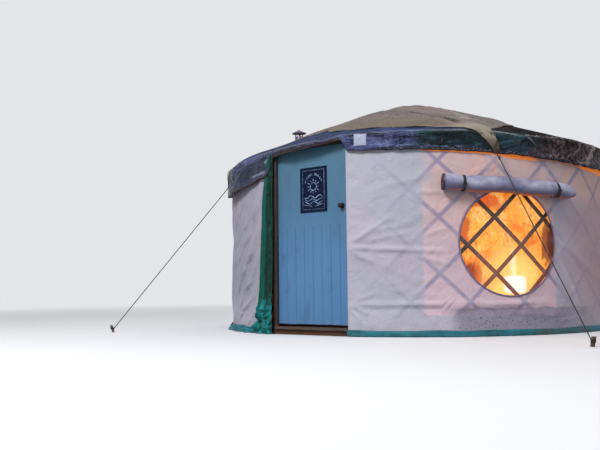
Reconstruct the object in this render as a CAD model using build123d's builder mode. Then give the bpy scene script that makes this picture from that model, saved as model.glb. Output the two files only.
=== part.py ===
from build123d import *
import math
import os

# Yurt with a round lattice wall, a tarpaulin roof and a plank door, in millimetres.
# Origin: on the yurt's axis, at ground level. +Z is up, and the door faces -Y.
# A bearing is an angle about +Z, counted from the door's middle towards +X.

# Fits
seat = 0.3
swing_gap = 6
pin_gap = 0.05

# Wall
wall_radius = 2130
canvas = 6
canvas_foot = 8
wall_top = 1828
canvas_lap = 10
canvas_margin = 20
wall_segment = 42
hem_height = 52
hem_cloth = 6
hem_parts = 6

# Lattice of crossing laths
lath_width = 36
lath_thickness = 8
lath_lap = 2
lath_bow = 8
column_pitch = 14.23
column_start = 34.46
row_foot = 51
row_pitch = 256.5
row_count = 7
bearing_slack = 0.1
lattice_top = 1655
columns_per_section = 4
section_count = 6

# Door frame and doorway
doorway_half = 438
jamb_width = 36
frame_depth = 85
stop_width = 12
recess = 34
head_bottom = 1822
head_top = 1843
sill_board_top = 47
sill_board_depth = 28
sill_board_set = 4
sill_top = 73
sill_reach = 35
sill_nose = 5
sill_gap = 1

# Door leaf
leaf_thickness = 40
leaf_bottom = 95
latch_gap = 8.5
leaf_boards = 8
board_groove = 6
boards_top = 1040
ledge_height = 110
ledge_thickness = 22
ledge_margin = 140
ledge_inset = 90
sign_width = 318
sign_height = 440
sign_thickness = 6
sign_corner = 6
sign_centre = (17, 1402)
knob_place = (350, 1220)
knob_radius = 24
knob_grip = 31
knob_belly = 14
knob_neck = 9
knob_reach = 52
rose_radius = 27
rose_thickness = 5
hinge_heights = (380, 1500)
hinge_pin = 5
hinge_eye = 9
hinge_setback = 22
strap_length = 330
strap_width = 34
strap_thickness = 4
strap_upstand = 6
pin_foot = 8
pin_head = 6
hinge_plate = 60
plate_width = 30
plate_set = 24
bracket_reach = 32

# Roof
eave_clearance = 12
eave_height = 1845
crown_radius = 500
crown_height = 2461
tarp = 6
roof_lap = 30
valance_foot = 1662
valance_door_foot = 1806
valance_door_margin = 24
valance_parts = 6
roof_parts = 6
pole_radius = 15
pole_foot = 1480
pole_bend = 220
door_pole_half = 7.1

# Crown wheel
ring_width = 60
ring_height = 55
spoke_width = 36
spoke_thickness = 16
spoke_rise = 120
spoke_count = 4
hub_radius = 60
hub_core = 50
hub_depth = 20
crown_drop = 4

# Crown cover and guys
cover_cloth = 5
cover_button = 20
cover_shoulder = 40
cover_bulge = 14
cover_tip_clearance = 20
cover_tip_width = 70
cover_hollows = (842, 742, 842, 462)
cover_foot = 1650
guy_bearing = 49.95
guy_rope = 5
peg_radius = 12
guy_spread = 1313
peg_height = 75
peg_lean = 18
guy_tie = 41

# Window and its rolled flap
window_bearing = 52.5
window_radius = 490
window_height = 845
film = 2
roll_radius = 78
roll_height = 1347
roll_arc = 35.8
roll_bearing = 53.1
roll_tilt = 2.55
roll_strap = 2.5
roll_strap_width = 26
roll_strap_bearings = (40.1, 64.3)

# Flue
flue_bearing = -77.4
flue_inset = 652
flue_radius = 50
flue_wall = 2
flue_below = 170
flue_rise = 295
cowl_radius = 92
cowl_height = 48
cowl_gap = 38
cowl_sheet = 4
cowl_peak = 12
cowl_legs = 3
cowl_leg = 5
cowl_leg_width = 20
flashing_radius = 120
flashing_thickness = 8
flashing_collar = 70
flashing_wall = 6
flashing_lift = 3.5

# Green side strip
strip_from = -20.3
strip_lap = 30

# Floor
floor_board = 22
bearer_height = 38
bearer_width = 60
bearer_pitch = 480
bearer_count = 7


def bearing_of(offset, radius):
    """The bearing of the place on a circle that lies that far to one side of the door's middle."""
    return math.degrees(math.asin(offset / radius))


wall_inside = wall_radius - canvas
lattice_outer = wall_inside - seat
lattice_inner = lattice_outer - 2 * lath_thickness - lath_bow
jamb_outer = doorway_half + jamb_width
frame_front = math.sqrt((wall_inside - seat) ** 2 - jamb_outer ** 2)
sill_front = frame_front + sill_reach
wall_end_right = bearing_of(doorway_half - canvas_lap, wall_radius)
wall_end_left = bearing_of(jamb_outer + canvas_margin, wall_radius)
strip_to = -bearing_of(jamb_outer - strip_lap, wall_radius)
valance_door_half = bearing_of(jamb_outer + valance_door_margin, wall_radius)
eave_radius = wall_radius + eave_clearance
cover_tip_radius = eave_radius + cover_tip_clearance
peg_reach = eave_radius + guy_spread
flue_distance = eave_radius - flue_inset
roof_slope = math.atan2(crown_height - eave_height, eave_radius - crown_radius)
flue_top = eave_height + flue_inset * math.tan(roof_slope) + flue_rise
leaf_front = frame_front - recess
leaf_back = leaf_front - leaf_thickness
frame_back = frame_front - frame_depth
leaf_top = head_bottom - swing_gap
leaf_left = -doorway_half + swing_gap
leaf_right = doorway_half - latch_gap
hinge_x = -doorway_half + swing_gap / 2
hinge_y = -(leaf_back - hinge_setback)

os.makedirs("parts", exist_ok=True)


def save(piece, name):
    piece.part.label = name
    export_step(piece.part, f"parts/{name}.step")


def spot(bearing, distance, height=0):
    """The point at a bearing and a distance from the axis."""
    angle = math.radians(bearing)
    return Vector(distance * math.sin(angle), -distance * math.cos(angle), height)


def outward(bearing, distance=0, height=0):
    """A plane at that place whose z points away from the axis and whose y points up."""
    return Plane(origin=spot(bearing, distance, height), x_dir=spot(bearing + 90, 1), z_dir=spot(bearing, 1))


def radial(bearing):
    """The upright plane through the axis, with x outward and y up."""
    return Plane(origin=(0, 0, 0), x_dir=spot(bearing, 1), z_dir=spot(bearing - 90, 1))


def roof_height(distance, above=0):
    """The height of the roof's outer skin, or of a skin that far above it."""
    return eave_height + (eave_radius - distance) * math.tan(roof_slope) + above / math.cos(roof_slope)


def sector_face(outer, inner, start, stop, gap=seat):
    """A ring sector seen from above, drawn in the sketch in use."""
    trim = math.degrees(gap / outer)
    first, last = start + trim, stop - trim
    middle = (first + last) / 2
    with BuildLine() as outline:
        ThreePointArc(spot(first, outer), spot(middle, outer), spot(last, outer))
        Line(spot(last, outer), spot(last, inner))
        ThreePointArc(spot(last, inner), spot(middle, inner), spot(first, inner))
        Line(spot(first, inner), spot(first, outer))
    make_face(outline.edges())


def ring_sector(outer, inner, start, stop, foot, top):
    """An upright curved slab between two bearings."""
    with BuildSketch(Plane.XY.offset(foot)) as plan:
        sector_face(outer, inner, start, stop)
    extrude(plan.sketch, amount=top - foot)


def make_wall(name, start, stop):
    with BuildPart() as wall:
        ring_sector(wall_radius, wall_inside, start, stop, canvas_foot, wall_top)
    save(wall, name)


def make_window_wall(start, stop):
    """The wall segment with the round window, and the clear film that closes it."""
    with BuildPart() as wall:
        ring_sector(wall_radius, wall_inside, start, stop, canvas_foot, wall_top)
        with BuildSketch(outward(window_bearing, 0, window_height)):
            Circle(window_radius)
        extrude(amount=wall_radius + canvas, mode=Mode.SUBTRACT)
    save(wall, "wall_window_side")
    with BuildPart() as pane:
        middle = wall_radius - (canvas - film) / 2
        ring_sector(middle, middle - film, start, stop, canvas_foot, wall_top)
        with BuildSketch(outward(window_bearing, 0, window_height)):
            Circle(window_radius - seat)
        extrude(amount=wall_radius + canvas, mode=Mode.INTERSECT)
    save(pane, "window_pane")


def make_hem():
    with BuildPart() as hem:
        outer = wall_radius + seat + hem_cloth
        arc = (360 + strip_from - wall_end_right) / hem_parts
        for index in range(hem_parts):
            start = wall_end_right + index * arc
            ring_sector(outer, wall_radius + seat, start, start + arc, 0, hem_height)
    save(hem, "wall_hem")


def lath_planes(first_column, columns, start, stop):
    """The middle plane of each lath length between two crossings, both ways.

    At the foot and the top a length is cut short, so it is left out where its crossing lies past an end."""
    planes = []
    half = column_pitch / 2
    for row in range(-1, row_count):
        low, high = row_foot + row * row_pitch, row_foot + (row + 1) * row_pitch
        shift = 0.5 if row % 2 else 0
        for step in range(columns + 1):
            foot = column_start + (first_column + step + shift) * column_pitch
            for side, layer in ((1, 0), (-1, lath_thickness - lath_lap)):
                head = foot + side * half
                crossing = {-1: head, row_count - 1: foot}.get(row, (start + stop) / 2)
                if not start - bearing_slack <= crossing <= stop + bearing_slack:
                    continue
                a = spot(foot, lattice_outer - lath_thickness - layer, low)
                b = spot(head, lattice_outer - lath_thickness - layer, high)
                along = (b - a).normalized()
                planes.append(Plane(origin=(a + b) * 0.5, x_dir=along, z_dir=spot((foot + head) / 2, 1)))
    return planes


def make_lattice(index):
    first = index * columns_per_section - 1
    start = column_start + first * column_pitch
    stop = start + columns_per_section * column_pitch
    if index == 0:
        start = bearing_of(jamb_outer, lattice_inner + lath_bow - lath_lap)
        first -= 1
    if index == section_count - 1:
        stop = 360 - bearing_of(jamb_outer, lattice_inner + lath_bow - lath_lap)
    columns = math.ceil((stop - start) / column_pitch) + 1
    run = math.hypot(row_pitch, math.radians(column_pitch / 2) * lattice_outer)
    with BuildPart() as lattice:
        with Locations(*[plane.location for plane in lath_planes(first, columns, start, stop)]):
            Box(run + lath_thickness, lath_width, lath_thickness)
        with BuildSketch(Plane.XY):
            sector_face(lattice_outer, lattice_inner, start, stop)
        extrude(amount=lattice_top, mode=Mode.INTERSECT)
    save(lattice, f"lattice_section_{index + 1}")


def make_frame():
    for side, name in ((-1, "door_jamb_left"), (1, "door_jamb_right")):
        with BuildPart() as jamb:
            with BuildSketch(Plane.XY):
                with Locations((side * (doorway_half + jamb_width / 2), -frame_front + frame_depth / 2)):
                    Rectangle(jamb_width, frame_depth)
                stop_depth = recess - swing_gap
                with Locations((side * (doorway_half - stop_width / 2), -frame_front + stop_depth / 2)):
                    Rectangle(stop_width, stop_depth)
            extrude(amount=head_bottom)
        save(jamb, name)
    with BuildPart() as head:
        with BuildSketch(Plane.XY.offset(head_bottom)):
            with Locations((0, -frame_front + frame_depth / 2)):
                Rectangle(2 * jamb_outer, frame_depth)
        extrude(amount=head_top - head_bottom)
    save(head, "door_head")
    clear = 2 * (doorway_half - stop_width - sill_gap)
    with BuildPart() as plank:
        with BuildSketch(Plane.XY.offset(sill_board_top)):
            with Locations((0, -(sill_front + frame_back) / 2)):
                Rectangle(clear, sill_front - frame_back)
        extrude(amount=sill_top - sill_board_top)
        fillet(plank.edges().filter_by(Axis.X).group_by(Axis.Y)[0], sill_nose)
    save(plank, "threshold_plank")
    with BuildPart() as board:
        with BuildSketch(Plane.XY):
            with Locations((0, -frame_front + sill_board_set)):
                Rectangle(clear, sill_board_depth)
        extrude(amount=sill_board_top)
    save(board, "threshold_board")


def make_floor():
    radius = lattice_inner - seat
    with BuildPart() as boards:
        with BuildSketch(Plane.XY.offset(bearer_height)):
            Circle(radius)
            with Locations((0, -frame_back + seat)):
                Rectangle(2 * radius, radius, align=(Align.CENTER, Align.MAX), mode=Mode.SUBTRACT)
        extrude(amount=floor_board)
    save(boards, "floor_boards")
    with BuildPart() as bearers:
        with BuildSketch(Plane.XY):
            with GridLocations(0, bearer_pitch, 1, bearer_count):
                Rectangle(2 * radius, bearer_width)
        extrude(amount=bearer_height)
        with BuildSketch(Plane.XY):
            Circle(radius - bearer_width)
        extrude(amount=bearer_height, mode=Mode.INTERSECT)
    save(bearers, "floor_bearers")


def make_leaf():
    height = leaf_top - leaf_bottom
    with BuildPart() as leaf:
        with BuildSketch(Plane.XY.offset(leaf_bottom)):
            with Locations(((leaf_left + leaf_right) / 2, -(leaf_front + leaf_back) / 2)):
                Rectangle(leaf_right - leaf_left, leaf_thickness)
        extrude(amount=height)
        board = (leaf_right - leaf_left) / leaf_boards
        with BuildSketch(Plane.XY.offset(leaf_bottom)):
            with Locations(*[(leaf_left + board * joint, -leaf_front) for joint in range(1, leaf_boards)]):
                Rectangle(board_groove, board_groove, rotation=45)
        extrude(amount=boards_top - leaf_bottom, mode=Mode.SUBTRACT)
    save(leaf, "door_leaf")
    with BuildPart() as ledges:
        for level in (leaf_bottom + ledge_margin, (leaf_bottom + leaf_top) / 2, leaf_top - ledge_margin):
            with BuildSketch(Plane.XY.offset(level - ledge_height / 2)):
                with Locations((0, -leaf_back + ledge_thickness / 2)):
                    Rectangle(2 * (doorway_half - ledge_inset), ledge_thickness)
            extrude(amount=ledge_height)
    save(ledges, "door_ledges")
    with BuildPart() as sign:
        with BuildSketch(Plane.XZ.offset(leaf_front)):
            with Locations(sign_centre):
                RectangleRounded(sign_width, sign_height, sign_corner)
        extrude(amount=sign_thickness)
    save(sign, "door_sign")


def knob_profile(face, reach):
    """Half the outline of a rose, neck and round grip, from a face of the leaf."""
    with BuildLine() as outline:
        Polyline((0, face), (rose_radius, face), (rose_radius, face + rose_thickness),
                 (knob_neck, face + rose_thickness))
        neck = face + reach - knob_grip
        Line((knob_neck, face + rose_thickness), (knob_neck, neck))
        ThreePointArc((knob_neck, neck), (knob_radius, face + reach - knob_belly), (knob_neck, face + reach))
        Line((knob_neck, face + reach), (0, face + reach))
        Line((0, face + reach), (0, face))
    make_face(outline.edges())


def make_knobs():
    axis_x, axis_z = knob_place
    with BuildPart() as knobs:
        for flip, face in ((-1, leaf_front), (1, -leaf_back)):
            plane = Plane(origin=(axis_x, 0, axis_z), x_dir=(1, 0, 0), z_dir=(0, 0, flip))
            with BuildSketch(plane):
                knob_profile(face, knob_reach)
            revolve(axis=Axis((axis_x, 0, axis_z), (0, 1, 0)))
    save(knobs, "door_knobs")


def make_hinges():
    with BuildPart() as straps:
        for level in hinge_heights:
            with BuildSketch(Plane.XY.offset(level - strap_width / 2)):
                first = hinge_x + hinge_eye
                with Locations((first + strap_length / 2, -leaf_back + strap_thickness / 2)):
                    Rectangle(strap_length, strap_thickness)
                with Locations((first + strap_upstand / 2, (hinge_y - leaf_back) / 2)):
                    Rectangle(strap_upstand, hinge_setback)
                with Locations((hinge_x + (hinge_eye + strap_upstand) / 2, hinge_y)):
                    Rectangle(hinge_eye + strap_upstand, strap_thickness)
                with Locations((hinge_x, hinge_y)):
                    Circle(hinge_eye)
                    Circle(hinge_pin + pin_gap, mode=Mode.SUBTRACT)
            extrude(amount=strap_width)
    save(straps, "hinge_straps")
    with BuildPart() as pins:
        for level in hinge_heights:
            foot = level - strap_width / 2 - pin_foot
            with BuildSketch(Plane.XY.offset(foot)):
                with Locations((hinge_x, hinge_y)):
                    Circle(hinge_pin)
            extrude(amount=pin_foot + strap_width + pin_head)
            with BuildSketch(Plane.XY.offset(foot - strap_thickness)):
                with Locations((hinge_x, hinge_y)):
                    Circle(hinge_eye)
                with Locations((hinge_x - bracket_reach / 2, (hinge_y - frame_back) / 2)):
                    Rectangle(bracket_reach, hinge_y + frame_back)
                with Locations((hinge_x - bracket_reach / 2, hinge_y)):
                    Rectangle(bracket_reach, strap_thickness)
            extrude(amount=strap_thickness)
            with BuildSketch(Plane.XY.offset(foot - hinge_plate)):
                with Locations((hinge_x - plate_set, -frame_back + strap_thickness / 2)):
                    Rectangle(plate_width, strap_thickness)
            extrude(amount=hinge_plate)
    save(pins, "hinge_pins")


def pole_path():
    lower = lattice_inner - seat - pole_radius
    drop = -(tarp + seat + pole_radius)
    upper = crown_radius + seat + pole_radius * math.sin(roof_slope)
    return lower, roof_height(lower, drop), upper, roof_height(upper, drop)


def make_poles():
    lower, knee, upper, top = pole_path()
    with BuildPart() as pole:
        with BuildLine(radial(0)) as path:
            FilletPolyline((lower, pole_foot), (lower, knee), (upper, top), radius=pole_bend)
        with BuildSketch(Plane.XY.offset(pole_foot)):
            with Locations(spot(0, lower)):
                Circle(pole_radius)
        sweep()
    bearings = []
    bearing = column_start - column_pitch
    while bearing < 360 - bearing_of(jamb_outer + 2 * pole_radius, lower):
        bearings.append(bearing)
        bearing += column_pitch
    with BuildPart() as poles:
        with Locations(*[Location((0, 0, 0), (0, 0, turn)) for turn in bearings]):
            add(pole.part)
    save(poles, "roof_poles")
    with BuildPart() as short:
        with BuildLine(radial(0)) as line:
            Line((frame_front - frame_depth / 2, knee_over_door()), (upper, top))
        with BuildSketch(Plane(origin=line.line @ 0, z_dir=line.line % 0)):
            Circle(pole_radius)
        sweep()
    with BuildPart() as door_poles:
        with Locations(*[Location((0, 0, 0), (0, 0, turn)) for turn in (-door_pole_half, door_pole_half)]):
            add(short.part)
    save(door_poles, "door_poles")


def knee_over_door():
    return roof_height(frame_front - frame_depth / 2, -(tarp + seat + pole_radius))


def crown_top():
    return roof_height(crown_radius, -tarp) - crown_drop


def make_crown():
    top = crown_top()
    with BuildPart() as ring:
        with BuildSketch(Plane.XY.offset(top - ring_height)):
            Circle(crown_radius)
            Circle(crown_radius - ring_width, mode=Mode.SUBTRACT)
        extrude(amount=ring_height)
    save(ring, "crown_ring")
    with BuildPart() as spokes:
        reach = crown_radius - ring_width / 2
        for index in range(spoke_count):
            turn = index * 180 / spoke_count
            with BuildSketch(radial(turn)):
                with BuildLine():
                    ThreePointArc((-reach, top), (0, top + spoke_rise), (reach, top))
                    Line((reach, top), (reach - spoke_thickness, top))
                    ThreePointArc((reach - spoke_thickness, top), (0, top + spoke_rise - spoke_thickness),
                                  (spoke_thickness - reach, top))
                    Line((spoke_thickness - reach, top), (-reach, top))
                make_face()
                with Locations((0, top)):
                    Rectangle(2 * hub_core, 4 * spoke_rise, mode=Mode.SUBTRACT)
            extrude(amount=spoke_width / 2, both=True)
        with BuildSketch(Plane.XY.offset(top + spoke_rise - hub_depth)):
            Circle(hub_radius)
        extrude(amount=hub_depth)
    save(spokes, "crown_spokes")


def make_roof_cover():
    """The tarpaulin's cone in sectors, each closed by upright planes, with the flue's hole."""
    inner = crown_radius - ring_width - roof_lap
    part_arc = 360 / roof_parts
    with BuildPart() as cover:
        for index in range(roof_parts):
            start = index * part_arc
            with BuildSketch(radial(start + 180 - math.degrees(seat / inner))):
                Polygon((-eave_radius, roof_height(eave_radius)), (-inner, roof_height(inner)),
                        (-inner, roof_height(inner, -tarp)), (-eave_radius, roof_height(eave_radius, -tarp)),
                        align=None)
            revolve(axis=Axis.Z, revolution_arc=part_arc - 2 * math.degrees(seat / inner))
        with BuildSketch(Plane.XY.offset(roof_height(flue_distance) - flashing_radius)):
            with Locations(spot(flue_bearing, flue_distance)):
                Circle(flue_radius + seat)
        extrude(amount=2 * flashing_radius, mode=Mode.SUBTRACT)
    save(cover, "roof_cover")


def make_valance():
    """The tarpaulin's hanging edge, cut short over the door."""
    inner = wall_radius + seat
    top = roof_height(inner + tarp, -tarp) - seat
    arc = (360 - 2 * valance_door_half) / valance_parts
    with BuildPart() as valance:
        for index in range(valance_parts):
            start = valance_door_half + index * arc
            ring_sector(inner + tarp, inner, start, start + arc, valance_foot, top)
        ring_sector(inner + tarp, inner, -valance_door_half, valance_door_half, valance_door_foot, top)
    save(valance, "roof_valance")


def make_crown_cover():
    """A square of heavy canvas over the crown, its hollow sides drawn out into four arms."""
    cap_top = crown_top() + spoke_rise + seat
    low, high = seat, seat + cover_cloth
    shoulder = crown_radius + cover_shoulder
    bulge = (3 * cap_top + roof_height(shoulder, low)) / 4 + cover_bulge
    edge = eave_radius + seat
    with BuildPart() as cover:
        with BuildSketch(Plane.XZ):
            with BuildLine():
                Polyline((cover_button, cap_top), (0, cap_top), (0, cap_top + cover_cloth),
                         (cover_button, cap_top + cover_cloth))
                ThreePointArc((cover_button, cap_top + cover_cloth), (shoulder / 2, bulge + cover_cloth),
                              (shoulder, roof_height(shoulder, high)))
                Polyline((shoulder, roof_height(shoulder, high)),
                         (edge + cover_cloth, roof_height(edge, high)), (edge + cover_cloth, cover_foot),
                         (edge, cover_foot), (edge, roof_height(edge, low)),
                         (shoulder, roof_height(shoulder, low)))
                ThreePointArc((shoulder, roof_height(shoulder, low)), (shoulder / 2, bulge),
                              (cover_button, cap_top))
            make_face()
        revolve(axis=Axis.Z)
        with BuildSketch(Plane.XY.offset(cover_foot)):
            half = math.degrees(cover_tip_width / 2 / cover_tip_radius)
            with BuildLine():
                for corner in range(4):
                    here = guy_bearing + 90 * corner
                    Line(spot(here - half, cover_tip_radius), spot(here + half, cover_tip_radius))
                    waist = spot(here + 45, eave_radius - cover_hollows[corner])
                    ThreePointArc(spot(here + half, cover_tip_radius), waist,
                                  spot(here + 90 - half, cover_tip_radius))
            make_face()
        extrude(amount=crown_height, mode=Mode.INTERSECT)
    save(cover, "crown_cover")


def make_guys():
    """Four taut ropes from the arms' tips to pegs, of which only the part above ground is made."""
    top = Vector(eave_radius + seat + cover_cloth, cover_foot + 2 * guy_rope)
    lean = math.radians(peg_lean)
    tie = Vector(peg_reach - peg_radius / math.cos(lean) + guy_tie * math.tan(lean), guy_tie)
    rise = math.atan2(top.Y - tie.Y, tie.X - top.X)
    start = top + Vector(seat + guy_rope * math.sin(rise), 0)
    end = tie + Vector(-math.cos(lean), math.sin(lean)) * (seat + guy_rope * math.sin(rise - lean))
    with BuildPart() as ropes:
        for corner in range(4):
            plane = radial(guy_bearing + 90 * corner)
            with BuildLine(plane) as line:
                Line((start.X, start.Y), (end.X, end.Y))
            with BuildSketch(Plane(origin=line.line @ 0, z_dir=line.line % 0)):
                Circle(guy_rope)
            sweep()
    save(ropes, "guy_ropes")
    with BuildPart() as pegs:
        for corner in range(4):
            plane = radial(guy_bearing + 90 * corner)
            with BuildSketch(plane):
                width = peg_radius / math.cos(lean)
                shift = peg_height * math.tan(lean)
                Polygon((peg_reach - width, 0), (peg_reach + width, 0),
                        (peg_reach + width + shift, peg_height), (peg_reach - width + shift, peg_height),
                        align=None)
            extrude(amount=peg_radius, both=True)
    save(pegs, "guy_pegs")


def make_roll():
    """The window's flap, rolled up and held by two straps."""
    reach = wall_radius + 2 * seat + roll_strap + roll_radius
    out = spot(roll_bearing, 1)
    side = spot(roll_bearing + 90, 1)
    tilt = math.radians(-roll_tilt)
    up = Vector(0, 0, 1) * math.cos(tilt) - side * math.sin(tilt)
    centre = Vector(0, 0, roll_height)

    def cut(turn):
        """The plane across the roll, turned about the tilted axis."""
        angle = math.radians(turn)
        along = side * math.cos(tilt) + Vector(0, 0, 1) * math.sin(tilt)
        facing = out * math.cos(angle) + along * math.sin(angle)
        return Plane(origin=centre, x_dir=facing, z_dir=facing.cross(up))

    axis = Axis(centre, up)
    with BuildPart() as roll:
        with BuildSketch(cut(-roll_arc / 2)):
            with Locations((reach, 0)):
                Circle(roll_radius)
        revolve(axis=axis, revolution_arc=roll_arc)
    save(roll, "window_flap_roll")
    with BuildPart() as straps:
        arc = math.degrees(roll_strap_width / reach)
        for bearing in roll_strap_bearings:
            with BuildSketch(cut(bearing - roll_bearing - arc / 2)):
                with Locations((reach, 0)):
                    Circle(roll_radius + seat + roll_strap)
                    Circle(roll_radius + seat, mode=Mode.SUBTRACT)
            revolve(axis=axis, revolution_arc=arc)
    save(straps, "flap_straps")


def make_flue():
    place = spot(flue_bearing, flue_distance)
    foot = roof_height(flue_distance) - flue_below
    with BuildPart() as pipe:
        with BuildSketch(Plane.XY.offset(foot)):
            with Locations(place):
                Circle(flue_radius)
                Circle(flue_radius - flue_wall, mode=Mode.SUBTRACT)
        extrude(amount=flue_top - foot)
    save(pipe, "flue_pipe")
    with BuildPart() as cowl:
        base = flue_top + cowl_gap
        with BuildSketch(Plane(origin=(place.X, place.Y, 0), x_dir=(1, 0, 0), z_dir=(0, -1, 0))):
            Polygon((0, base), (cowl_radius, base), (cowl_radius, base + cowl_sheet),
                    (cowl_peak, base + cowl_height), (0, base + cowl_height), align=None)
        revolve(axis=Axis(place, (0, 0, 1)))
        with BuildSketch(Plane.XY.offset(flue_top - cowl_gap)):
            with Locations(place):
                with PolarLocations(flue_radius + seat + cowl_leg / 2, cowl_legs):
                    Rectangle(cowl_leg, cowl_leg_width)
        extrude(amount=2 * cowl_gap + cowl_sheet / 2)
    save(cowl, "flue_cowl")
    slope = spot(flue_bearing, math.sin(roof_slope), math.cos(roof_slope))
    centre = spot(flue_bearing, flue_distance, roof_height(flue_distance, seat + flashing_lift))
    seating = Plane(origin=centre, x_dir=spot(flue_bearing + 90, 1), z_dir=slope)
    with BuildPart() as flashing:
        with BuildSketch(Plane.XY.offset(centre.Z - flashing_collar)):
            with Locations(place):
                Circle(flue_radius + seat + flashing_wall)
        extrude(amount=2 * flashing_collar)
        with BuildSketch(seating):
            Circle(2 * flashing_radius)
        extrude(amount=-2 * flashing_radius, mode=Mode.SUBTRACT)
        with BuildSketch(seating):
            Circle(flashing_radius)
        extrude(amount=flashing_thickness)
        with BuildSketch(Plane.XY.offset(centre.Z - 2 * flashing_radius)):
            with Locations(place):
                Circle(flue_radius + seat)
        extrude(amount=4 * flashing_radius, mode=Mode.SUBTRACT)
    save(flashing, "flue_flashing")


def make_strip():
    with BuildPart() as strip:
        inner = wall_radius + seat
        ring_sector(inner + canvas, inner, strip_from, strip_to, 0, valance_foot - seat)
    save(strip, "side_strip")


make_floor()
make_frame()
make_leaf()
make_knobs()
make_hinges()
first_end = window_bearing - wall_segment / 2
make_wall("wall_front_right", wall_end_right, first_end)
make_window_wall(first_end, first_end + wall_segment)
names = ["wall_right", "wall_rear_right", "wall_rear", "wall_rear_left", "wall_left", "wall_side_left"]
for order, name in enumerate(names):
    make_wall(name, first_end + (order + 1) * wall_segment, first_end + (order + 2) * wall_segment)
make_wall("wall_front_left", first_end + 7 * wall_segment, 360 - wall_end_left)
make_hem()
for section in range(section_count):
    make_lattice(section)
make_poles()
make_crown()
make_roof_cover()
make_valance()
make_crown_cover()
make_guys()
make_roll()
make_flue()
make_strip()
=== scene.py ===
from math import atan2, copysign, cos, dist, pi, radians, sin, sqrt, tan

import bpy
import numpy as np
from mathutils import Matrix, Vector


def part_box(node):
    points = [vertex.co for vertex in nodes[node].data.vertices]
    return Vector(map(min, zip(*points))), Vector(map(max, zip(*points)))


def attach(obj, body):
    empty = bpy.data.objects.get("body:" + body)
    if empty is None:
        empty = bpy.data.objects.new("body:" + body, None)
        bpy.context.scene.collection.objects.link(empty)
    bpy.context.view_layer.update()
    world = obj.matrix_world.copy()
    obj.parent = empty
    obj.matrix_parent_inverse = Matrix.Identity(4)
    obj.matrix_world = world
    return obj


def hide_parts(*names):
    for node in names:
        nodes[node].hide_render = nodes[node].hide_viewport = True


# A round tent on a trellis, in metres. A bearing is an angle in degrees about +Z, from the door's middle (-Y)
# towards +X. Sheets carry "flat", a place on the cloth: metres along it and metres up it.

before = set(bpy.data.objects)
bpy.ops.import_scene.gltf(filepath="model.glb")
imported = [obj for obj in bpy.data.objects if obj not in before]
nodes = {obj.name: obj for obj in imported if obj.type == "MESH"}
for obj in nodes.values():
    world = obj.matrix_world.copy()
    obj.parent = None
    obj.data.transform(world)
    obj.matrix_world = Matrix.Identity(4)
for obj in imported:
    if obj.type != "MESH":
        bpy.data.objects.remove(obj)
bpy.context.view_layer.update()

WALL, CANVAS_FOOT, CANVAS_TOP = 2.13, 0.01, 1.812
CANVAS_START, CANVAS_END = 11.6, 346.6  # bearings, right and left of the door
LINING = 2.086  # the radius of the lining behind the window
# where the lamp inside stands: it isn't built, its light is only painted on the lining and the laths
LAMP_BEARING, LAMP_HEIGHT = 54.1, 0.46
EAVE_RADIUS, EAVE_HEIGHT = 2.142, 1.845
EAVE_GIRTH, EAVE_EASE = 13.46, 0.055  # round the eave, and the reach of its bend to each side
TARP_OUT, TARP_UP = 0.004, 0.001  # how far the tarpaulin lies off the eave
ROOF_OPENING = 0.41  # the radius of the tarpaulin's hole under the crown cover
RING_RADIUS, RING_HEIGHT = 0.5, 2.461
SLOPE = atan2(RING_HEIGHT - EAVE_HEIGHT, EAVE_RADIUS - RING_RADIUS)
WINDOW_BEARING, WINDOW_HEIGHT, WINDOW_RADIUS = 52.5, 0.845, 0.49
LATTICE_BEARING, LATTICE_STEP, LATTICE_FOOT, LATTICE_ROW = 34.46, 14.23, 0.051, 0.2565
GUY_BEARING = 49.95
ARM_TIP, ARM_HALF = 2.162, 0.035
FLUE_BEARING, FLUE_DISTANCE, FLUE_HOLE = -77.4, 1.49, 0.075
ROLL_BEARING, ROLL_ARC, ROLL_TILT, ROLL_HEIGHT, ROLL_REACH = 53.1, 35.8, 2.55, 1.347, 2.211
ROLL_RADIUS, ROLL_TURNS = 0.078, 4.2
STRAP_BEARINGS = (40.1, 64.3)
BACKGROUND = 0xE4E5E8
UP = Vector((0, 0, 1))

# Folds of the wall left of the door: from (bearing, height) to (bearing, height), half width, darkness of the
# painted shade along it, which also sets its depth
LEFT_FOLDS = (((340.2, 0.88), (323.0, 0.36), 0.024, 0.38), ((339.0, 0.56), (326.0, 0.24), 0.018, 0.34),
              ((340.0, 0.40), (325.2, 0.1), 0.02, 0.36), ((340.2, 0.22), (333.0, 0.05), 0.016, 0.26),
              ((337.2, 1.04), (323.8, 0.7), 0.02, 0.3), ((339.6, 1.26), (324.0, 0.98), 0.03, 0.2),
              ((330.0, 1.42), (322.0, 1.1), 0.04, 0.2))


def link(name, data):
    """A new object in the scene."""
    made = bpy.data.objects.new(name, data)
    bpy.context.scene.collection.objects.link(made)
    return made


# Camera, set first
def make_camera():
    heading, pitch, roll = radians(37.2923), radians(4.8493), radians(0.6313)
    ahead = Vector((-sin(heading) * cos(pitch), cos(heading) * cos(pitch), sin(pitch)))
    right = Vector((cos(heading), sin(heading), 0))
    up = right.cross(ahead)
    side = right * cos(roll) - up * sin(roll)
    top = right * sin(roll) + up * cos(roll)
    data = bpy.data.cameras.new("camera")
    data.lens, data.sensor_width = 45, 36
    camera = link("camera", data)
    camera.matrix_world = Matrix((side, top, -ahead)).transposed().to_4x4()
    camera.location = (4.29739, -7.88197, 0.44317)
    bpy.context.scene.camera = camera


make_camera()


# Numbers on grids
def along(bearing):
    """Metres along the wall's cloth to a bearing."""
    return radians(bearing) * WALL


def at(bearing, z):
    """A place on the wall's cloth."""
    return along(bearing), z


WINDOW_MIDDLE = along(WINDOW_BEARING)
PITCH = along(LATTICE_STEP)


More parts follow.
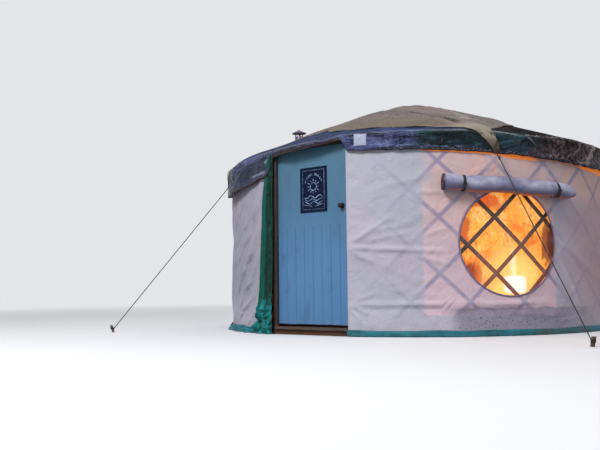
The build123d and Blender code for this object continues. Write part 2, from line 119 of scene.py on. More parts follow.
def lath_start(side):
    """Where the laths that lean to one side stand at the cloth's start, in parts of their pitch."""
    return -along(LATTICE_BEARING) / PITCH - side * LATTICE_FOOT / (2 * LATTICE_ROW)


def wrap(bearing):
    """The same bearing from -180 to 180."""
    return (bearing + 180) % 360 - 180


def smooth(value, low, high):
    """0 below low and 1 above high, with an eased rise between."""
    t = np.clip((value - low) / (high - low), 0, 1)
    return t * t * (3 - 2 * t)


def bump(value, centre, width):
    return np.exp(-((value - centre) / width) ** 2)


TABLES = {}


def noise(u, v, seed):
    """Smooth noise from -1 to 1, which repeats every 64 steps of u and of v."""
    if seed not in TABLES:
        TABLES[seed] = np.random.default_rng(seed).uniform(-1, 1, (64, 64))
    iu, iv = np.floor(u).astype(int), np.floor(v).astype(int)
    fu, fv = smooth(u - iu, 0, 1), smooth(v - iv, 0, 1)
    corner = lambda a, b: TABLES[seed][(iu + a) % 64, (iv + b) % 64]
    low, high = (corner(0, b) * (1 - fu) + corner(1, b) * fu for b in (0, 1))
    return low * (1 - fv) + high * fv


def crease(s, z, start, end, width, depth):
    """A ridge from one place on the cloth to another, which fades out at both ends."""
    length = dist(start, end)
    ds, dz = (end[0] - start[0]) / length, (end[1] - start[1]) / length
    share = ((s - start[0]) * ds + (z - start[1]) * dz) / length
    off = (z - start[1]) * ds - (s - start[0]) * dz
    return depth * bump(off, 0, width) * np.sin(np.pi * np.clip(share, 0, 1)) ** 0.8


def loose_creases(s, z, count, seed, size, region, lean, width, depth):
    """Creases at random places in a region of the cloth, (s low, s high, z low, z high)."""
    draw = np.random.default_rng(seed)
    total = 0
    for _ in range(count):
        cs, cz = draw.uniform(*region[:2]), draw.uniform(*region[2:])
        angle, half = draw.uniform(*lean), draw.uniform(0.4, 1) * size / 2
        ds, dz = cos(angle) * half, sin(angle) * half
        total = total + crease(s, z, (cs - ds, cz - dz), (cs + ds, cz + dz), draw.uniform(*width),
                               depth * draw.uniform(-1, 1))
    return total


def spread(start, *spans):
    """Numbers from a start in even steps to each (end, steps) in turn."""
    parts = [np.array([start], float)]
    for end, steps in spans:
        parts.append(np.linspace(parts[-1][-1], end, steps + 1)[1:])
    return np.concatenate(parts)


def table(*columns):
    """Arrays of any shape side by side, a row for each point."""
    return np.stack(np.broadcast_arrays(*columns), -1).reshape(-1, len(columns))


def polar(bearing, radius, height):
    """Points at bearings in degrees, distances from the axis and heights."""
    angle = np.radians(bearing)
    return table(radius * np.sin(angle), -radius * np.cos(angle), height)


def spot(bearing, radius, height=0):
    return Vector(polar(bearing, radius, height)[0])


def grid_faces(rows, columns, closed=False, downward=False):
    """The four-sided faces of a grid of points, row by row."""
    faces = []
    for start in range(0, (rows - 1) * columns, columns):
        for column in range(columns if closed else columns - 1):
            after = (column + 1) % columns
            faces.append((start + column, start + after, start + columns + after, start + columns + column))
    return [f[::-1] for f in faces] if downward else faces


def rod_faces(rows, columns):
    """The faces of a rod made of rings of points, with a cap at each end."""
    caps = [tuple(range(columns))[::-1], tuple(range((rows - 1) * columns, rows * columns))]
    return grid_faces(rows, columns, True) + caps


# Materials
def rgb(code):
    """A colour as it shows on a screen, 0xRRGGBB, as the numbers that a shader takes."""
    parts = ((code >> shift & 255) / 255 for shift in (16, 8, 0))
    return (*(v / 12.92 if v <= 0.04045 else ((v + 0.055) / 1.055) ** 2.4 for v in parts), 1)


class Value:
    """What a node gives, with short names for the nodes that work on it."""

    def __init__(self, tree, socket):
        self.tree, self.socket = tree, socket

    def math(self, operation, other=0.0):
        return self.tree.node("Math", {0: self, 1: other}, operation=operation)

    def __add__(self, other):
        return self.math("ADD", other)

    def __sub__(self, other):
        return self.math("SUBTRACT", other)

    def __rsub__(self, other):
        return self.tree.node("Math", {0: other, 1: self}, operation="SUBTRACT")

    def __mul__(self, other):
        return self.math("MULTIPLY", other)

    def __abs__(self):
        return self.math("ABSOLUTE")

    def larger(self, other):
        return self.math("MAXIMUM", other)

    def rise(self, low, high, start=0.0, end=1.0):
        """From start, where the value is low, to end, where it is high, eased."""
        return self.tree.node("MapRange", {0: self, 1: low, 2: high, 3: start, 4: end},
                              interpolation_type="SMOOTHSTEP")

    def noise(self, scale, detail=3.0, rough=0.5, bend=0.0):
        return self.tree.node("TexNoise", {"Vector": self, "Scale": scale, "Detail": detail,
                                           "Roughness": rough, "Distortion": bend}, "Fac")

    def axes(self):
        first = self.tree.node("SeparateXYZ", {0: self})
        return [Value(self.tree, socket) for socket in first.socket.node.outputs]

    def relief(self, depth, normal=None):
        """The surface's direction with a bump whose height is depth metres."""
        before = {"Normal": normal} if normal else {}
        return self.tree.node("Bump", {"Height": self, "Distance": depth, "Strength": 1.0, **before})


class Tree:
    """The nodes of a material or a world."""

    def __init__(self, owner, output):
        owner.use_nodes = True
        self.nodes, self.links = owner.node_tree.nodes, owner.node_tree.links
        self.nodes.clear()
        self.output = self.nodes.new("ShaderNodeOutput" + output)

    def put(self, value, socket):
        """A value to a socket, as a link or as it is."""
        if isinstance(value, Value):
            self.links.new(value.socket, socket)
        elif socket.type == "RGBA" and isinstance(value, int):
            socket.default_value = rgb(value)
        else:
            socket.default_value = value

    def node(self, kind, inputs, output=0, **settings):
        made = self.nodes.new("ShaderNode" + kind)
        for name, value in settings.items():
            setattr(made, name, value)
        for socket, value in inputs.items():
            self.put(value, made.inputs[socket])
        return Value(self, made.outputs[output])

    def mix(self, share, a, b):
        return self.node("Mix", {0: share, 6: a, 7: b}, 2, data_type="RGBA")

    def show(self, surface):
        self.put(surface, self.output.inputs["Surface"])

    def blend(self, share, first, second):
        self.show(self.node("MixShader", {0: share, 1: first, 2: second}))


class Paint(Tree):
    """A material and its shader."""

    def __init__(self, name, **sockets):
        self.material = bpy.data.materials.new(name)
        super().__init__(self.material, "Material")
        self.shader = self.node("BsdfPrincipled", {})
        self.show(self.shader)
        self.set(**sockets)

    def set(self, **values):
        for socket, value in values.items():
            self.put(value, self.shader.socket.node.inputs[socket.replace("_", " ")])
        return self.material

    def stretched(self, where, x=1, y=1, z=1):
        return self.node("Mapping", {"Vector": where, "Scale": (x, y, z)}, vector_type="TEXTURE")

    def place(self, *stretch):
        """A point's place in the row frame, stretched."""
        return self.stretched(self.node("TexCoord", {}, "Object"), *stretch)

    def flat(self, *stretch):
        """A point's place on its cloth, stretched."""
        return self.stretched(self.node("Attribute", {}, "Vector", attribute_name="flat"), *stretch)

    def lay(self, colour, *layers):
        """A colour with others laid over it in turn, (share, colour)."""
        for share, tint in layers:
            colour = self.mix(share, colour, tint)
        return colour

    def folds(self, colour, x, y, lines):
        """Lines of painted highlight and painted shade along folds, that waver and break up, (start, end,
        half width, tint, share), over a colour; a wide one lays a broad tint.
        """
        waver = self.flat().noise(5, 3, 0.6) - 0.5
        x, y = x + waver * 0.12, y + waver * -0.1
        broken = self.flat().noise(11, 5, 0.7).rise(0.36, 0.55, 0.5, 1)
        for start, end, width, tint, share in lines:
            length = dist(start, end)
            dx, dy = (end[0] - start[0]) / length, (end[1] - start[1]) / length
            way = x * dx + y * dy - (start[0] * dx + start[1] * dy)
            off = abs(y * dx - x * dy - (start[1] * dx - start[0] * dy))
            ends = way.rise(0, length * 0.2) * way.rise(length, length * 0.8)
            colour = self.mix(ends * off.rise(width, width * 0.2, 0, share) * broken, colour, tint)
        return colour

    def weave(self, where, pitch, depth):
        """The surface's direction with threads across and along."""
        across, up = (self.node("TexWave", {"Vector": where, "Scale": 2 / pitch / 6.2832}, "Fac",
                                bands_direction=way) for way in "XY")
        return (across * up).relief(depth)


def cloth(name, base, tones, rough, pitch, dirt=None, **sockets):
    """Plain cloth: a base colour, tones that drift over it, (tint, size, low, high), and a weave."""
    paint = Paint(name, Roughness=rough, **sockets)
    where = paint.flat()
    layers = [(where.noise(1 / size, 5, 0.6).rise(low, high), tint) for tint, size, low, high in tones]
    if dirt:
        tint, reach = dirt
        layers.append((where.noise(35, 6, 0.7).rise(0.45, 0.75) * where.axes()[1].rise(reach, 0.0), tint))
    normal = where.noise(9, 5, 0.6).relief(0.006, paint.weave(where, pitch, 0.0004))
    return paint.set(Base_Color=paint.lay(base, *layers), Normal=normal)


def wood(name, dark, light, axis, size, rough, worn=None):
    """Wood whose grain runs along an axis of the row frame."""
    paint = Paint(name)
    stretch = [0.012 * size] * 3
    stretch[axis] = 0.4 * size
    where = paint.place(*stretch)
    grain = where.noise(1.0, 6, 0.65, 0.6)
    shade = (*(c * 0.55 for c in rgb(dark)[:3]), 1)
    layers = [(grain.rise(0.32, 0.68), light), (paint.place().noise(2.3, 3).rise(0.35, 0.7, 0, 0.45), shade)]
    if worn:
        layers.append((where.noise(2.5, 4).rise(0.58, 0.7, 0, 0.7), worn))
    return paint.set(Base_Color=paint.lay(dark, *layers), Normal=grain.relief(0.0012 * size),
                     Roughness=grain.rise(0.2, 0.8, rough - 0.12, rough + 0.12))


def wall_material():
    """Canvas with painted light: it glows pink where the lamp is near, with the trellis's shadow painted on
    it.
    """
    paint = Paint("canvas", Sheen_Weight=0.08, Sheen_Roughness=0.5, Roughness=0.88, Emission_Strength=0.35)
    where = paint.flat()
    s, up, _ = where.axes()
    sides = lambda low, high, *ends: s.rise(along(low), along(high), *ends)
    colour = paint.lay(
        0xB4B5C4, (where.noise(1.1, 4).rise(0.35, 0.7), 0xC4B9CA),
        (paint.flat(1, 3).noise(6, 6, 0.7).rise(0.5, 0.8, 0, 0.3), 0xA8A6B2),
        (paint.flat(0.03, 0.9).noise(1, 4, 0.6).rise(0.55, 0.8, 0, 0.16), 0x96949C),
        # painted light: a pink glow round the right side, and painted shade on the wall left of the door
        (sides(62, 84, 0, 0.7) * sides(150, 110), 0xCCA4A6), (sides(280, 320, 0, 0.5), 0x8C8A96),
        # painted light: lighter low down, as if lit from the ground
        (up.rise(0.6, 0.1, 0, 0.5), 0xCECAD8))
    # Where light comes through: from one bearing rightwards, higher up further round
    above = up.rise(1.34, 1.42)
    left = sides(30.2, 31.1) * (1 - above) + sides(29, 34.5) * above
    low_part, high_part = sides(66.2, 65.2) * up.rise(0.185, 0.2), up.rise(1.2, 1.36) * sides(112, 92)
    glow = left * low_part.larger(high_part)
    glow_colour = paint.mix(up.rise(0.3, 1.5), 0xE6C4D0, 0xE2BAB4)
    colour = paint.mix(glow * where.noise(2.2, 4, 0.6).rise(0.3, 0.75, 0.55, 1.0), colour, glow_colour)
    # The trellis behind it, as its shadow painted on the canvas
    waver = (where.noise(5, 3) - 0.5) * 0.02
    bars = []
    for side in (1, -1):
        part = s * (1 / PITCH) + up * (side / (2 * LATTICE_ROW)) + waver + (lath_start(side) + 60.5)
        bars.append(abs(part.math("FRACT") - 0.5).rise(0.08, 0.022))
    shadow = bars[0].larger(bars[1]) * up.rise(0.02, 0.3)
    share = glow * 0.42 + sides(11, 26) * sides(110, 80) * 0.2
    share = share * where.noise(3.5, 3).rise(0.3, 0.65, 0.55, 1.15)
    # Damp and mould near the ground, darker under the window
    damp = (up + where.noise(8, 4) * 0.05).rise(0.285, 0.265) * sides(36, 40) * sides(86, 64)
    mould = damp * abs(up - 0.13).rise(0.12, 0.02, 0.25, 1) + up.rise(0.24, 0.02, 0, 0.4)
    # Painted light: bright orange just under the tarpaulin's edge, broadest right of the arm, which also
    # glows
    line = up + (s - along(30.4)) * 0.0578 + sides(48, 54) * sides(66, 58) * 0.018
    edge = line.rise(1.68, 1.688) * glow * (1 - sides(59, 62) * sides(79, 75, 0, 0.8))
    colour = paint.lay(colour, (shadow * share, 0x7A7AA2), (damp * 0.75, 0x8E88A0),
                       (where.noise(46, 5, 0.75).rise(0.55, 0.63) * mould, 0x544C62), (edge, 0xF48A42))
    # painted shade along the folds left of the door
    colour = paint.folds(colour, s, up, [(at(a, low - 0.015), at(b, high - 0.015), width, 0x5C5C72, share)
                                         for (a, low), (b, high), width, share in LEFT_FOLDS])
    return paint.set(Base_Color=colour, Emission_Color=paint.mix(edge, 0x000000, 0xFF8C32),
                     Normal=where.noise(6, 5, 0.55, 0.5).relief(0.02, paint.weave(where, 0.0016, 0.0003)))


def tarp_material():
    """Thick shiny tarpaulin: bluish by the door from a painted reflection of the sky, green-black further
    round, brown-black at the right.
    """
    paint = Paint("tarpaulin")
    where = paint.flat()
    s, slope, above = where.axes()
    drift = s + (where.noise(2.5, 5, 0.7) - 0.5) * 1.3
    turn = lambda bearing: radians(bearing) * EAVE_RADIUS
    sides = lambda low, high, *ends: s.rise(turn(low), turn(high), *ends)
    drifts = lambda low, high: drift.rise(turn(low), turn(high))
    patch = paint.flat(2.2).noise(9, 5, 0.62, 0.8)
    ridges = paint.flat(3).noise(15, 4, 0.55, 1.2)
    pleats = paint.flat(0.3, 1.8).noise(5, 2, 0.5, 0.8)
    fine = paint.flat(1.6).noise(95, 4, 0.6)
    hangs, hem = slope.rise(0.05, -0.01), above.rise(0.034, 0.024)
    # painted highlights: pale on the crests of the wrinkles, glints on the hanging pleats
    crest = abs(ridges - 0.5).rise(0.035, 0.005) * patch.rise(0.42, 0.58)
    glint = abs(pleats - 0.5).rise(0.04, 0.005) * hangs
    # a painted reflection of the sky, bluish, with painted highlights on the crests
    sky_reflection_blue = paint.lay(0x121834, (patch.rise(0.4, 0.62), 0x404C7A), (crest * 0.7, 0x7680B0))
    green = paint.lay(0x0A1A1E, (patch.rise(0.45, 0.7), 0x26424C), (crest * 0.35, 0x46607C))
    brown = paint.lay(0x221A1A, (patch.rise(0.45, 0.68), 0x544444), (glint * 0.4, 0x967A80))
    teal = drifts(-76, -64) * drifts(-34, -48) * slope.rise(0.3, 0.0, 0.15, 0.75)
    # painted highlights on a row of light creases a hand above the edge
    row = above.rise(0.06, 0.045) * above.rise(0.03, 0.04)
    row = row * paint.flat(3).noise(30, 5, 0.7).rise(0.44, 0.62, 0, 0.6) * (sides(14, 18) * sides(48, 36))
    # paler and dustier up the slope, with a painted sheen on it: bluish at the front, darker at the sides
    dust_and_sheen = slope.rise(-0.01, 0.06) * patch.rise(0.35, 0.65, 0.2, 0.8)
    dark_side = sides(30, 60).larger(sides(-60, -90))
    colour = paint.lay(
        sky_reflection_blue, (drifts(24, 34), green), (drifts(55, 66), brown), (drifts(130, 165), green),
        (sides(9, -2), paint.mix(0.5, sky_reflection_blue, 0x3E424E)), (drifts(-28, -58), green),
        (teal, paint.mix(patch, 0x1E4242, 0x78A08C)), (row, 0x7E84BA),
        (dust_and_sheen, paint.mix(dark_side, 0x505A7E, 0x403A38)))
    # single folds as painted highlights and painted shade: pale highlights left of the door, the bright
    # highlighted corner and its edge at the right, dark shade in a few
    colour = paint.folds(colour, s, slope, [
        ((turn(a), low), (turn(b), high), width, tint, share) for a, low, b, high, width, tint, share in (
            (-22.3, -0.24, -14.8, -0.19, 0.02, 0x969CBC, 0.75),
            (-15.4, -0.12, -12.4, -0.05, 0.018, 0x7896A0, 0.8),
            (-46, -0.02, -14, -0.02, 0.06, 0x5C5A86, 0.7), (-42, -0.2, -19, -0.14, 0.07, 0x1E2A36, 0.6),
            (20, 0.045, 32, 0.035, 0.03, 0x7086BA, 0.7), (57, 0.0, 61, -0.11, 0.01, 0x968488, 0.6),
            (64, 0.01, 74, 0.01, 0.016, 0xB09EA6, 0.7), (70, 0.03, 85, 0.02, 0.02, 0x807480, 0.7),
            (85.5, 0.03, 78.8, -0.22, 0.04, 0xBCA2A6, 0.85), (81, -0.19, 74, -0.21, 0.02, 0xBCA2A6, 0.8),
            (72, 0.0, 67.5, -0.18, 0.02, 0x161012, 0.8), (76, -0.02, 72.5, -0.2, 0.014, 0x927C82, 0.7))])
    # painted glints on the pleats low down at the right
    pleat_glints = paint.flat(0.22, 1.5).noise(8, 3, 0.6, 0.5).rise(0.5, 0.64, 0, 0.8)
    low_right = sides(58, 66) * sides(100, 84) * above.rise(0.16, 0.04)
    # the stitched hem: painted glints, dots of light on it at the right, a plain brown turning over the door
    hem_glints = paint.mix(fine.rise(0.5, 0.62), 0x18141C, 0x8A7E96)
    colour = paint.lay(
        colour, (pleat_glints * low_right, 0xAC969E),
        (hem * (sides(12, 56, 0.3, 1) * sides(140, 120)), hem_glints),
        (above.rise(0.03, 0.027) * (sides(-38, -36) * sides(10.6, 10.2)),
         paint.mix(fine, 0x2A1C20, 0x463234)),
        # a dark line along the very lower edge: a cord there, with painted shadow
        (above.rise(0.009, 0.005), 0x141012))
    normal = (ridges * slope.rise(0.05, -0.01, 0.4, 1)).relief(0.022)
    normal = (fine * hem).relief(0.006, (pleats * hangs).relief(0.02, normal))
    return paint.set(Base_Color=colour, Roughness=patch.rise(0.3, 0.7, 0.24, 0.42), Normal=normal,
                     Specular_IOR_Level=slope.rise(0.04, -0.02, 0.0, 0.16))


def cover_material():
    """Weathered khaki canvas with moss and mould, whose "flat" is its plan."""
    paint = Paint("cover_canvas", Sheen_Weight=0.1, Roughness=0.92)
    where = paint.flat()
    x, y, _ = where.axes()
    reach = (x * x + y * y).math("SQRT")
    colour = paint.lay(
        0x746260, (where.noise(1.3, 4).rise(0.35, 0.7), 0x544C40),
        (where.noise(4.5, 6, 0.7).rise(0.5, 0.75, 0, 0.7), 0x9C8A84),
        (where.noise(26, 5, 0.8).rise(0.51, 0.57, 0, 0.75), 0x3A362C),
        (where.noise(48, 3, 0.7).rise(0.53, 0.6, 0, 0.7), 0xB8A69E),
        (where.noise(2.1, 5, 0.7).rise(0.55, 0.7, 0, 0.5), 0x58583A),
        (reach.rise(1.85, 2.15, 0, 0.8), 0xAAA08C), (reach.rise(2.33, 2.4, 0, 0.7), 0x3C2C22))
    # the dark seam across the front as painted shadow, with a painted highlight on the pale fold beside it,
    # on the fold that runs out to the arm and on others, and broad khaki and pinkish tints either side of it
    colour = paint.folds(colour, x, y, (
        ((-0.5, -1.5), (1.3, -1.5), 0.36, 0x6C644A, 0.55), ((0.0, -0.5), (1.1, -0.85), 0.3, 0x968282, 0.45),
        ((0.5, -0.98), (1.5, -1.46), 0.06, 0xA09488, 0.45),
        ((0.36, -0.8), (0.82, -1.11), 0.055, 0x241E20, 1.0),
        ((0.7, -1.05), (1.46, -1.36), 0.055, 0x241E20, 1.0),
        ((-0.22, -0.8), (0.14, -0.86), 0.045, 0x3C3434, 0.5),
        ((0.06, -0.84), (0.38, -0.76), 0.045, 0x3C3434, 0.5),
        ((0.0, -0.47), (0.66, -0.4), 0.09, 0xB0A09C, 0.5),
        ((0.54, -0.36), (1.4, -1.15), 0.09, 0xB4A49E, 0.6), ((1.1, -1.2), (1.5, -0.9), 0.07, 0xAC9E98, 0.5)))
    # the seams of the breadths it is sewn from
    seam = abs((x * (1 / 0.93) + 60.5).math("FRACT") - 0.5).rise(0.012, 0.006)
    normal = where.noise(7, 6, 0.65, 0.5).relief(0.03, paint.weave(where, 0.0022, 0.0006))
    return paint.set(Base_Color=paint.mix(seam * 0.6, colour, 0x3A342C), Normal=seam.relief(0.003, normal))


def boards_material(name, low, high):
    """Old paint, bluer low down and greyer above, thin along the grain."""
    paint = Paint(name, Coat_Weight=0.05, Coat_Roughness=0.35)
    up = paint.place().axes()[2]
    grain = paint.place(0.012, 0.012, 0.5).noise(1, 6, 0.65, 0.4)
    foot = up.rise(0.15, 0.09) * paint.place(1, 1, 3).noise(60, 4).rise(0.45, 0.6)
    colour = paint.lay(
        low, (up.rise(0.5, 1.5), high),
        (grain.rise(0.45, 0.75, 0, 0.35) * up.rise(1.12, 0.95, 0.25, 1), 0x6892B8),
        (up.rise(1.35, 1.75, 0, 0.35), 0x4A7A84),
        (paint.place(1, 1, 2).noise(7, 6, 0.65).rise(0.52, 0.78, 0, 0.5), 0x3A5870),
        (foot * 0.6, 0x788C9C))
    return paint.set(Base_Color=colour, Roughness=grain.rise(0.3, 0.7, 0.42, 0.58),
                     Normal=grain.relief(0.0016))


def metal(name, base, rust, rough, amount, metallic):
    paint = Paint(name, Metallic=metallic)
    patch = paint.place().noise(22, 6, 0.7)
    return paint.set(Base_Color=paint.mix(patch.rise(0.5, 0.68, 0, amount), base, rust),
                     Roughness=patch.rise(0.3, 0.7, rough - 0.1, rough + 0.18),
                     Normal=paint.place().noise(160, 3).relief(0.0006))


def film_material():
    """Clear flexible film: it lets light through and carries a faint gloss."""
    paint = Paint("film", Roughness=0.12, Base_Color=(0.9, 0.88, 0.85, 1))
    haze = paint.place().noise(11, 5, 0.7).rise(0.4, 0.8, 0.01, 0.06)
    paint.blend(haze, paint.node("BsdfTransparent", {}), paint.shader)
    return paint.set(Normal=paint.place().noise(6, 3).relief(0.01))


def lining_material():
    """Orange lining that glows with painted light from a lamp behind it: painted shade, brown where folds
    gather, and a painted pool of light, near white at the lamp.
    """
    paint = Paint("lining", Roughness=0.9, Emission_Strength=0.9)
    s, up, _ = paint.flat().axes()
    vein = lambda stretch, *look: abs(paint.flat(*stretch).noise(*look) - 0.5)
    # the painted glow: brighter patches of lamp light, and darker red creases as painted shade
    colour = paint.lay(
        0xE87418, (paint.flat(0.8, 1.2).noise(3.2, 4, 0.55, 1.2).rise(0.32, 0.6), 0xFFAC42),
        (paint.flat(0.8, 1.4).noise(4, 4, 0.6, 1.2).rise(0.52, 0.66, 0, 0.6), 0xFFCE78),
        (vein((0.7, 1.4), 3.5, 4, 0.6, 2.2).rise(0.025, 0.005, 0, 0.6), 0xBE5012),
        (vein((0.5, 1.1), 7, 5, 0.65, 2.6).rise(0.02, 0.004, 0, 0.5), 0xCC5C16))

    def near(bearing, height, wide, tall, power=2.0):
        """0 at a place and 1 on a rounded box round it, as a distance in parts of the box's half."""
        x, y = (abs((value - middle) * (1 / half)).math("POWER", power)
                for value, middle, half in ((s, along(bearing), wide), (up, height, tall)))
        return (x + y).math("POWER", 1 / power)

    rough = (paint.flat(0.7, 1.2).noise(8, 5, 0.7, 1) - 0.5) * 1.6
    # painted shade: brown and deep orange where folds gather
    shades = [((near(*box) + rough).rise(1.25, 0.75, 0, 0.85), tint) for box, tint in (
        ((65.2, 0.84, 0.1, 0.2), 0x7A2C10), ((42.4, 0.55, 0.12, 0.12), 0xBE420C),
        ((66.2, 0.84, 0.06, 0.14), 0x40180C), ((42.2, 0.56, 0.05, 0.09), 0x8A3210),
        ((40.6, 1.0, 0.07, 0.16), 0xC45416), ((46.5, 1.22, 0.16, 0.06), 0xD65414))]
    # a painted pool of light round the lamp, painted light up the wall above it, and the lamp's shade as a
    # near-white painted spot
    colour = paint.lay(colour, *shades, (near(53.6, 0.5, 0.2, 0.22).rise(2.0, 0.6, 0, 0.85), 0xFFD070),
                       (near(53.8, 0.64, 0.03, 0.12).rise(1.6, 0.4, 0, 0.8), 0xFFEEBE),
                       (near(LAMP_BEARING, LAMP_HEIGHT, 0.116, 0.078, 4.0).rise(1.2, 0.85), 0xF8EEE4))
    return paint.set(Base_Color=paint.mix(0.5, colour, 0x000000), Emission_Color=colour,
                     Normal=paint.flat(0.3, 2).noise(5, 4).relief(0.02))


def strip_material():
    """Deep green cloth, lighter on its left part, with a painted shadow down a fold in its middle and painted
    turquoise highlights and dark teal shade where it is rumpled at its foot.
    """
    paint = Paint("green_cloth", Roughness=0.4, Specular_IOR_Level=0.2)
    where = paint.flat()
    across, up, _ = where.axes()
    patch = where.noise(12, 5, 0.65)
    # lighter on the left part, a painted shadow down the fold, painted highlights and shade at the rumpled
    # foot
    colour = paint.lay(
        0x00221E, (patch.rise(0.35, 0.7), 0x02483C), (across.rise(0.16, 0.11, 0, 0.6), 0x026854),
        (abs(across - 0.19).rise(0.035, 0.01, 0, 0.7), 0x041818),
        ((up + patch * 0.12).rise(0.43, 0.36), paint.mix(patch.rise(0.4, 0.6), 0x003A3E, 0x0A8E8C)),
        (where.noise(30, 5, 0.7).rise(0.58, 0.7, 0, 0.35), 0x4A544E))
    normal = where.noise(14, 5, 0.6, 0.5).relief(0.01, paint.weave(where, 0.003, 0.0004))
    return paint.set(Base_Color=colour, Normal=normal)


def roll_material():
    """Silver proofed cloth with painted light: lit orange where it hangs over the window, with painted shade
    on its underside and in its open left end.
    """
    paint = Paint("roll_cloth", Roughness=0.42)
    where = paint.flat()
    s, _, lit = where.axes()
    facing = paint.node("NewGeometry", {}, "Normal").axes()[2]
    patch = paint.flat(2.5).noise(9, 5, 0.65)
    # painted shade where it faces down and in its open left end, and painted orange light over the window
    colour = paint.lay(0x8484A4, (patch.rise(0.35, 0.7), 0xC4C2DA),
                       (facing.rise(0.1, -0.7, 0, 0.8), 0x5C5A7E), (lit, 0xE28046),
                       (s.rise(-0.655, -0.68), 0x3E2E38))
    normal = paint.flat(3).noise(12, 5, 0.6, 0.5).relief(0.012, paint.weave(where, 0.002, 0.0003))
    return paint.set(Base_Color=colour, Normal=normal)


def lath_material():
    """Dark oiled laths, with painted lamp light: warmer where the lamp shines through beside them."""
    paint = Paint("lath_wood", Roughness=0.65)
    grain = paint.place(0.03, 0.03, 0.06).noise(1.0, 5, 0.65, 0.6)
    x, y, z = ((value - middle) * (value - middle)
               for value, middle in zip(paint.place().axes(), spot(LAMP_BEARING, 2.1, LAMP_HEIGHT)))
    colour = paint.lay(0x2E1B14, (grain.rise(0.35, 0.65), 0x5C3A2A),
                       ((x + y + z).rise(0.4, 0.02, 0, 0.85), 0xA05C42))
    return paint.set(Base_Color=colour, Normal=grain.relief(0.0008))


def chalk_material():
    paint = Paint("chalk", Roughness=0.9)
    patch = paint.place().noise(60, 5, 0.7).rise(0.4, 0.62)
    return paint.set(Base_Color=paint.mix(patch, 0x40608A, 0xA8C8E4))


MATERIALS = {
    "canvas": wall_material(),
    "tarp": tarp_material(),
    "tarp_reverse": cloth("tarpaulin_reverse", 0x4E3E3A, [(0x3A2E2E, 0.4, 0.4, 0.7)], 0.7, 0.002),
    "cover": cover_material(),
    "hem": cloth("hem_cloth", 0x007684, [(0x005862, 0.3, 0.4, 0.65), (0x344E4E, 1.6, 0.52, 0.66),
                                         (0x54929C, 0.08, 0.62, 0.8)], 0.5, 0.003, (0x3E362E, 0.05)),
    "strip": strip_material(),
    "roll": roll_material(),
    "webbing": cloth("webbing", 0x141418, [(0x2C2A2E, 0.02, 0.4, 0.7)], 0.8, 0.003),
    "binding": cloth("binding", 0x8E789A, [(0x685674, 0.05, 0.4, 0.7)], 0.7, 0.002),
    "label": cloth("label", 0xACADC8, [(0x9292B0, 0.03, 0.45, 0.7)], 0.6, 0.002),
    "rope": cloth("rope", 0x34302C, [(0x544C42, 0.03, 0.45, 0.7)], 0.9, 0.0015),
    "sign": cloth("sign_face", 0x0A1024, [(0x162648, 0.05, 0.4, 0.65)], 0.8, 0.004, Specular_IOR_Level=0.1),
    "chalk": chalk_material(),
    "lath": lath_material(),
    "pole": wood("pole_wood", 0x825C38, 0xB08458, 0, 0.8, 0.65),
    "crown": wood("crown_wood", 0x765232, 0xA0764E, 0, 0.8, 0.65),
    "frame": wood("frame_wood", 0x342620, 0x544036, 2, 1, 0.75, 0x6C6058),
    "plank": wood("grey_plank", 0x3E322D, 0x60504A, 0, 1, 0.85, 0x786C66),
    "red_board": wood("red_board", 0x482C20, 0x683E2A, 0, 1, 0.8),
    "floor": wood("floor_wood", 0x86603E, 0xB2885C, 1, 1, 0.6),
    "bearer": wood("bearer_wood", 0x604834, 0x82664A, 0, 1, 0.85),
    "peg": wood("peg_wood", 0x544230, 0x80684E, 2, 0.6, 0.85, 0x968876),
    "door": boards_material("door_paint", 0x5082B2, 0x467290),
    "ledge": boards_material("ledge_paint", 0x527EA4, 0x4E708E),
    "iron": metal("dark_iron", 0x2E2826, 0x5C3E2C, 0.5, 0.5, 0.7),
    "steel": metal("flue_steel", 0x7A6C88, 0x382C3A, 0.42, 0.85, 0.6),
    "film": film_material(),
    "lining": lining_material(),
}


# Pieces
def piece(name, shape, material, body="shell", replaces=(), flat=None, thickness=0, reverse=None,
          rounded=True):
    """A mesh from (points, faces), with its places on the cloth and a thickness inwards."""
    mesh = bpy.data.meshes.new(name)
    mesh.from_pydata(np.asarray(shape[0], float).tolist(), [], shape[1])
    mesh.validate()
    mesh.polygons.foreach_set("use_smooth", [rounded] * len(mesh.polygons))
    if flat is not None:
        layer = mesh.attributes.new("flat", "FLOAT_VECTOR", "POINT")
        full = np.zeros((len(flat), 3))
        full[:, :np.shape(flat)[1]] = flat
        layer.data.foreach_set("vector", full.ravel())
    mesh.materials.append(MATERIALS[material])
    made = link(name, mesh)
    if thickness:
        thick = made.modifiers.new("thickness", "SOLIDIFY")
        thick.thickness, thick.offset = thickness, -1
        if reverse:
            mesh.materials.append(MATERIALS[reverse])
            thick.material_offset = 1
    if replaces:
        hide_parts(*replaces)
    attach(made, body)
    return made


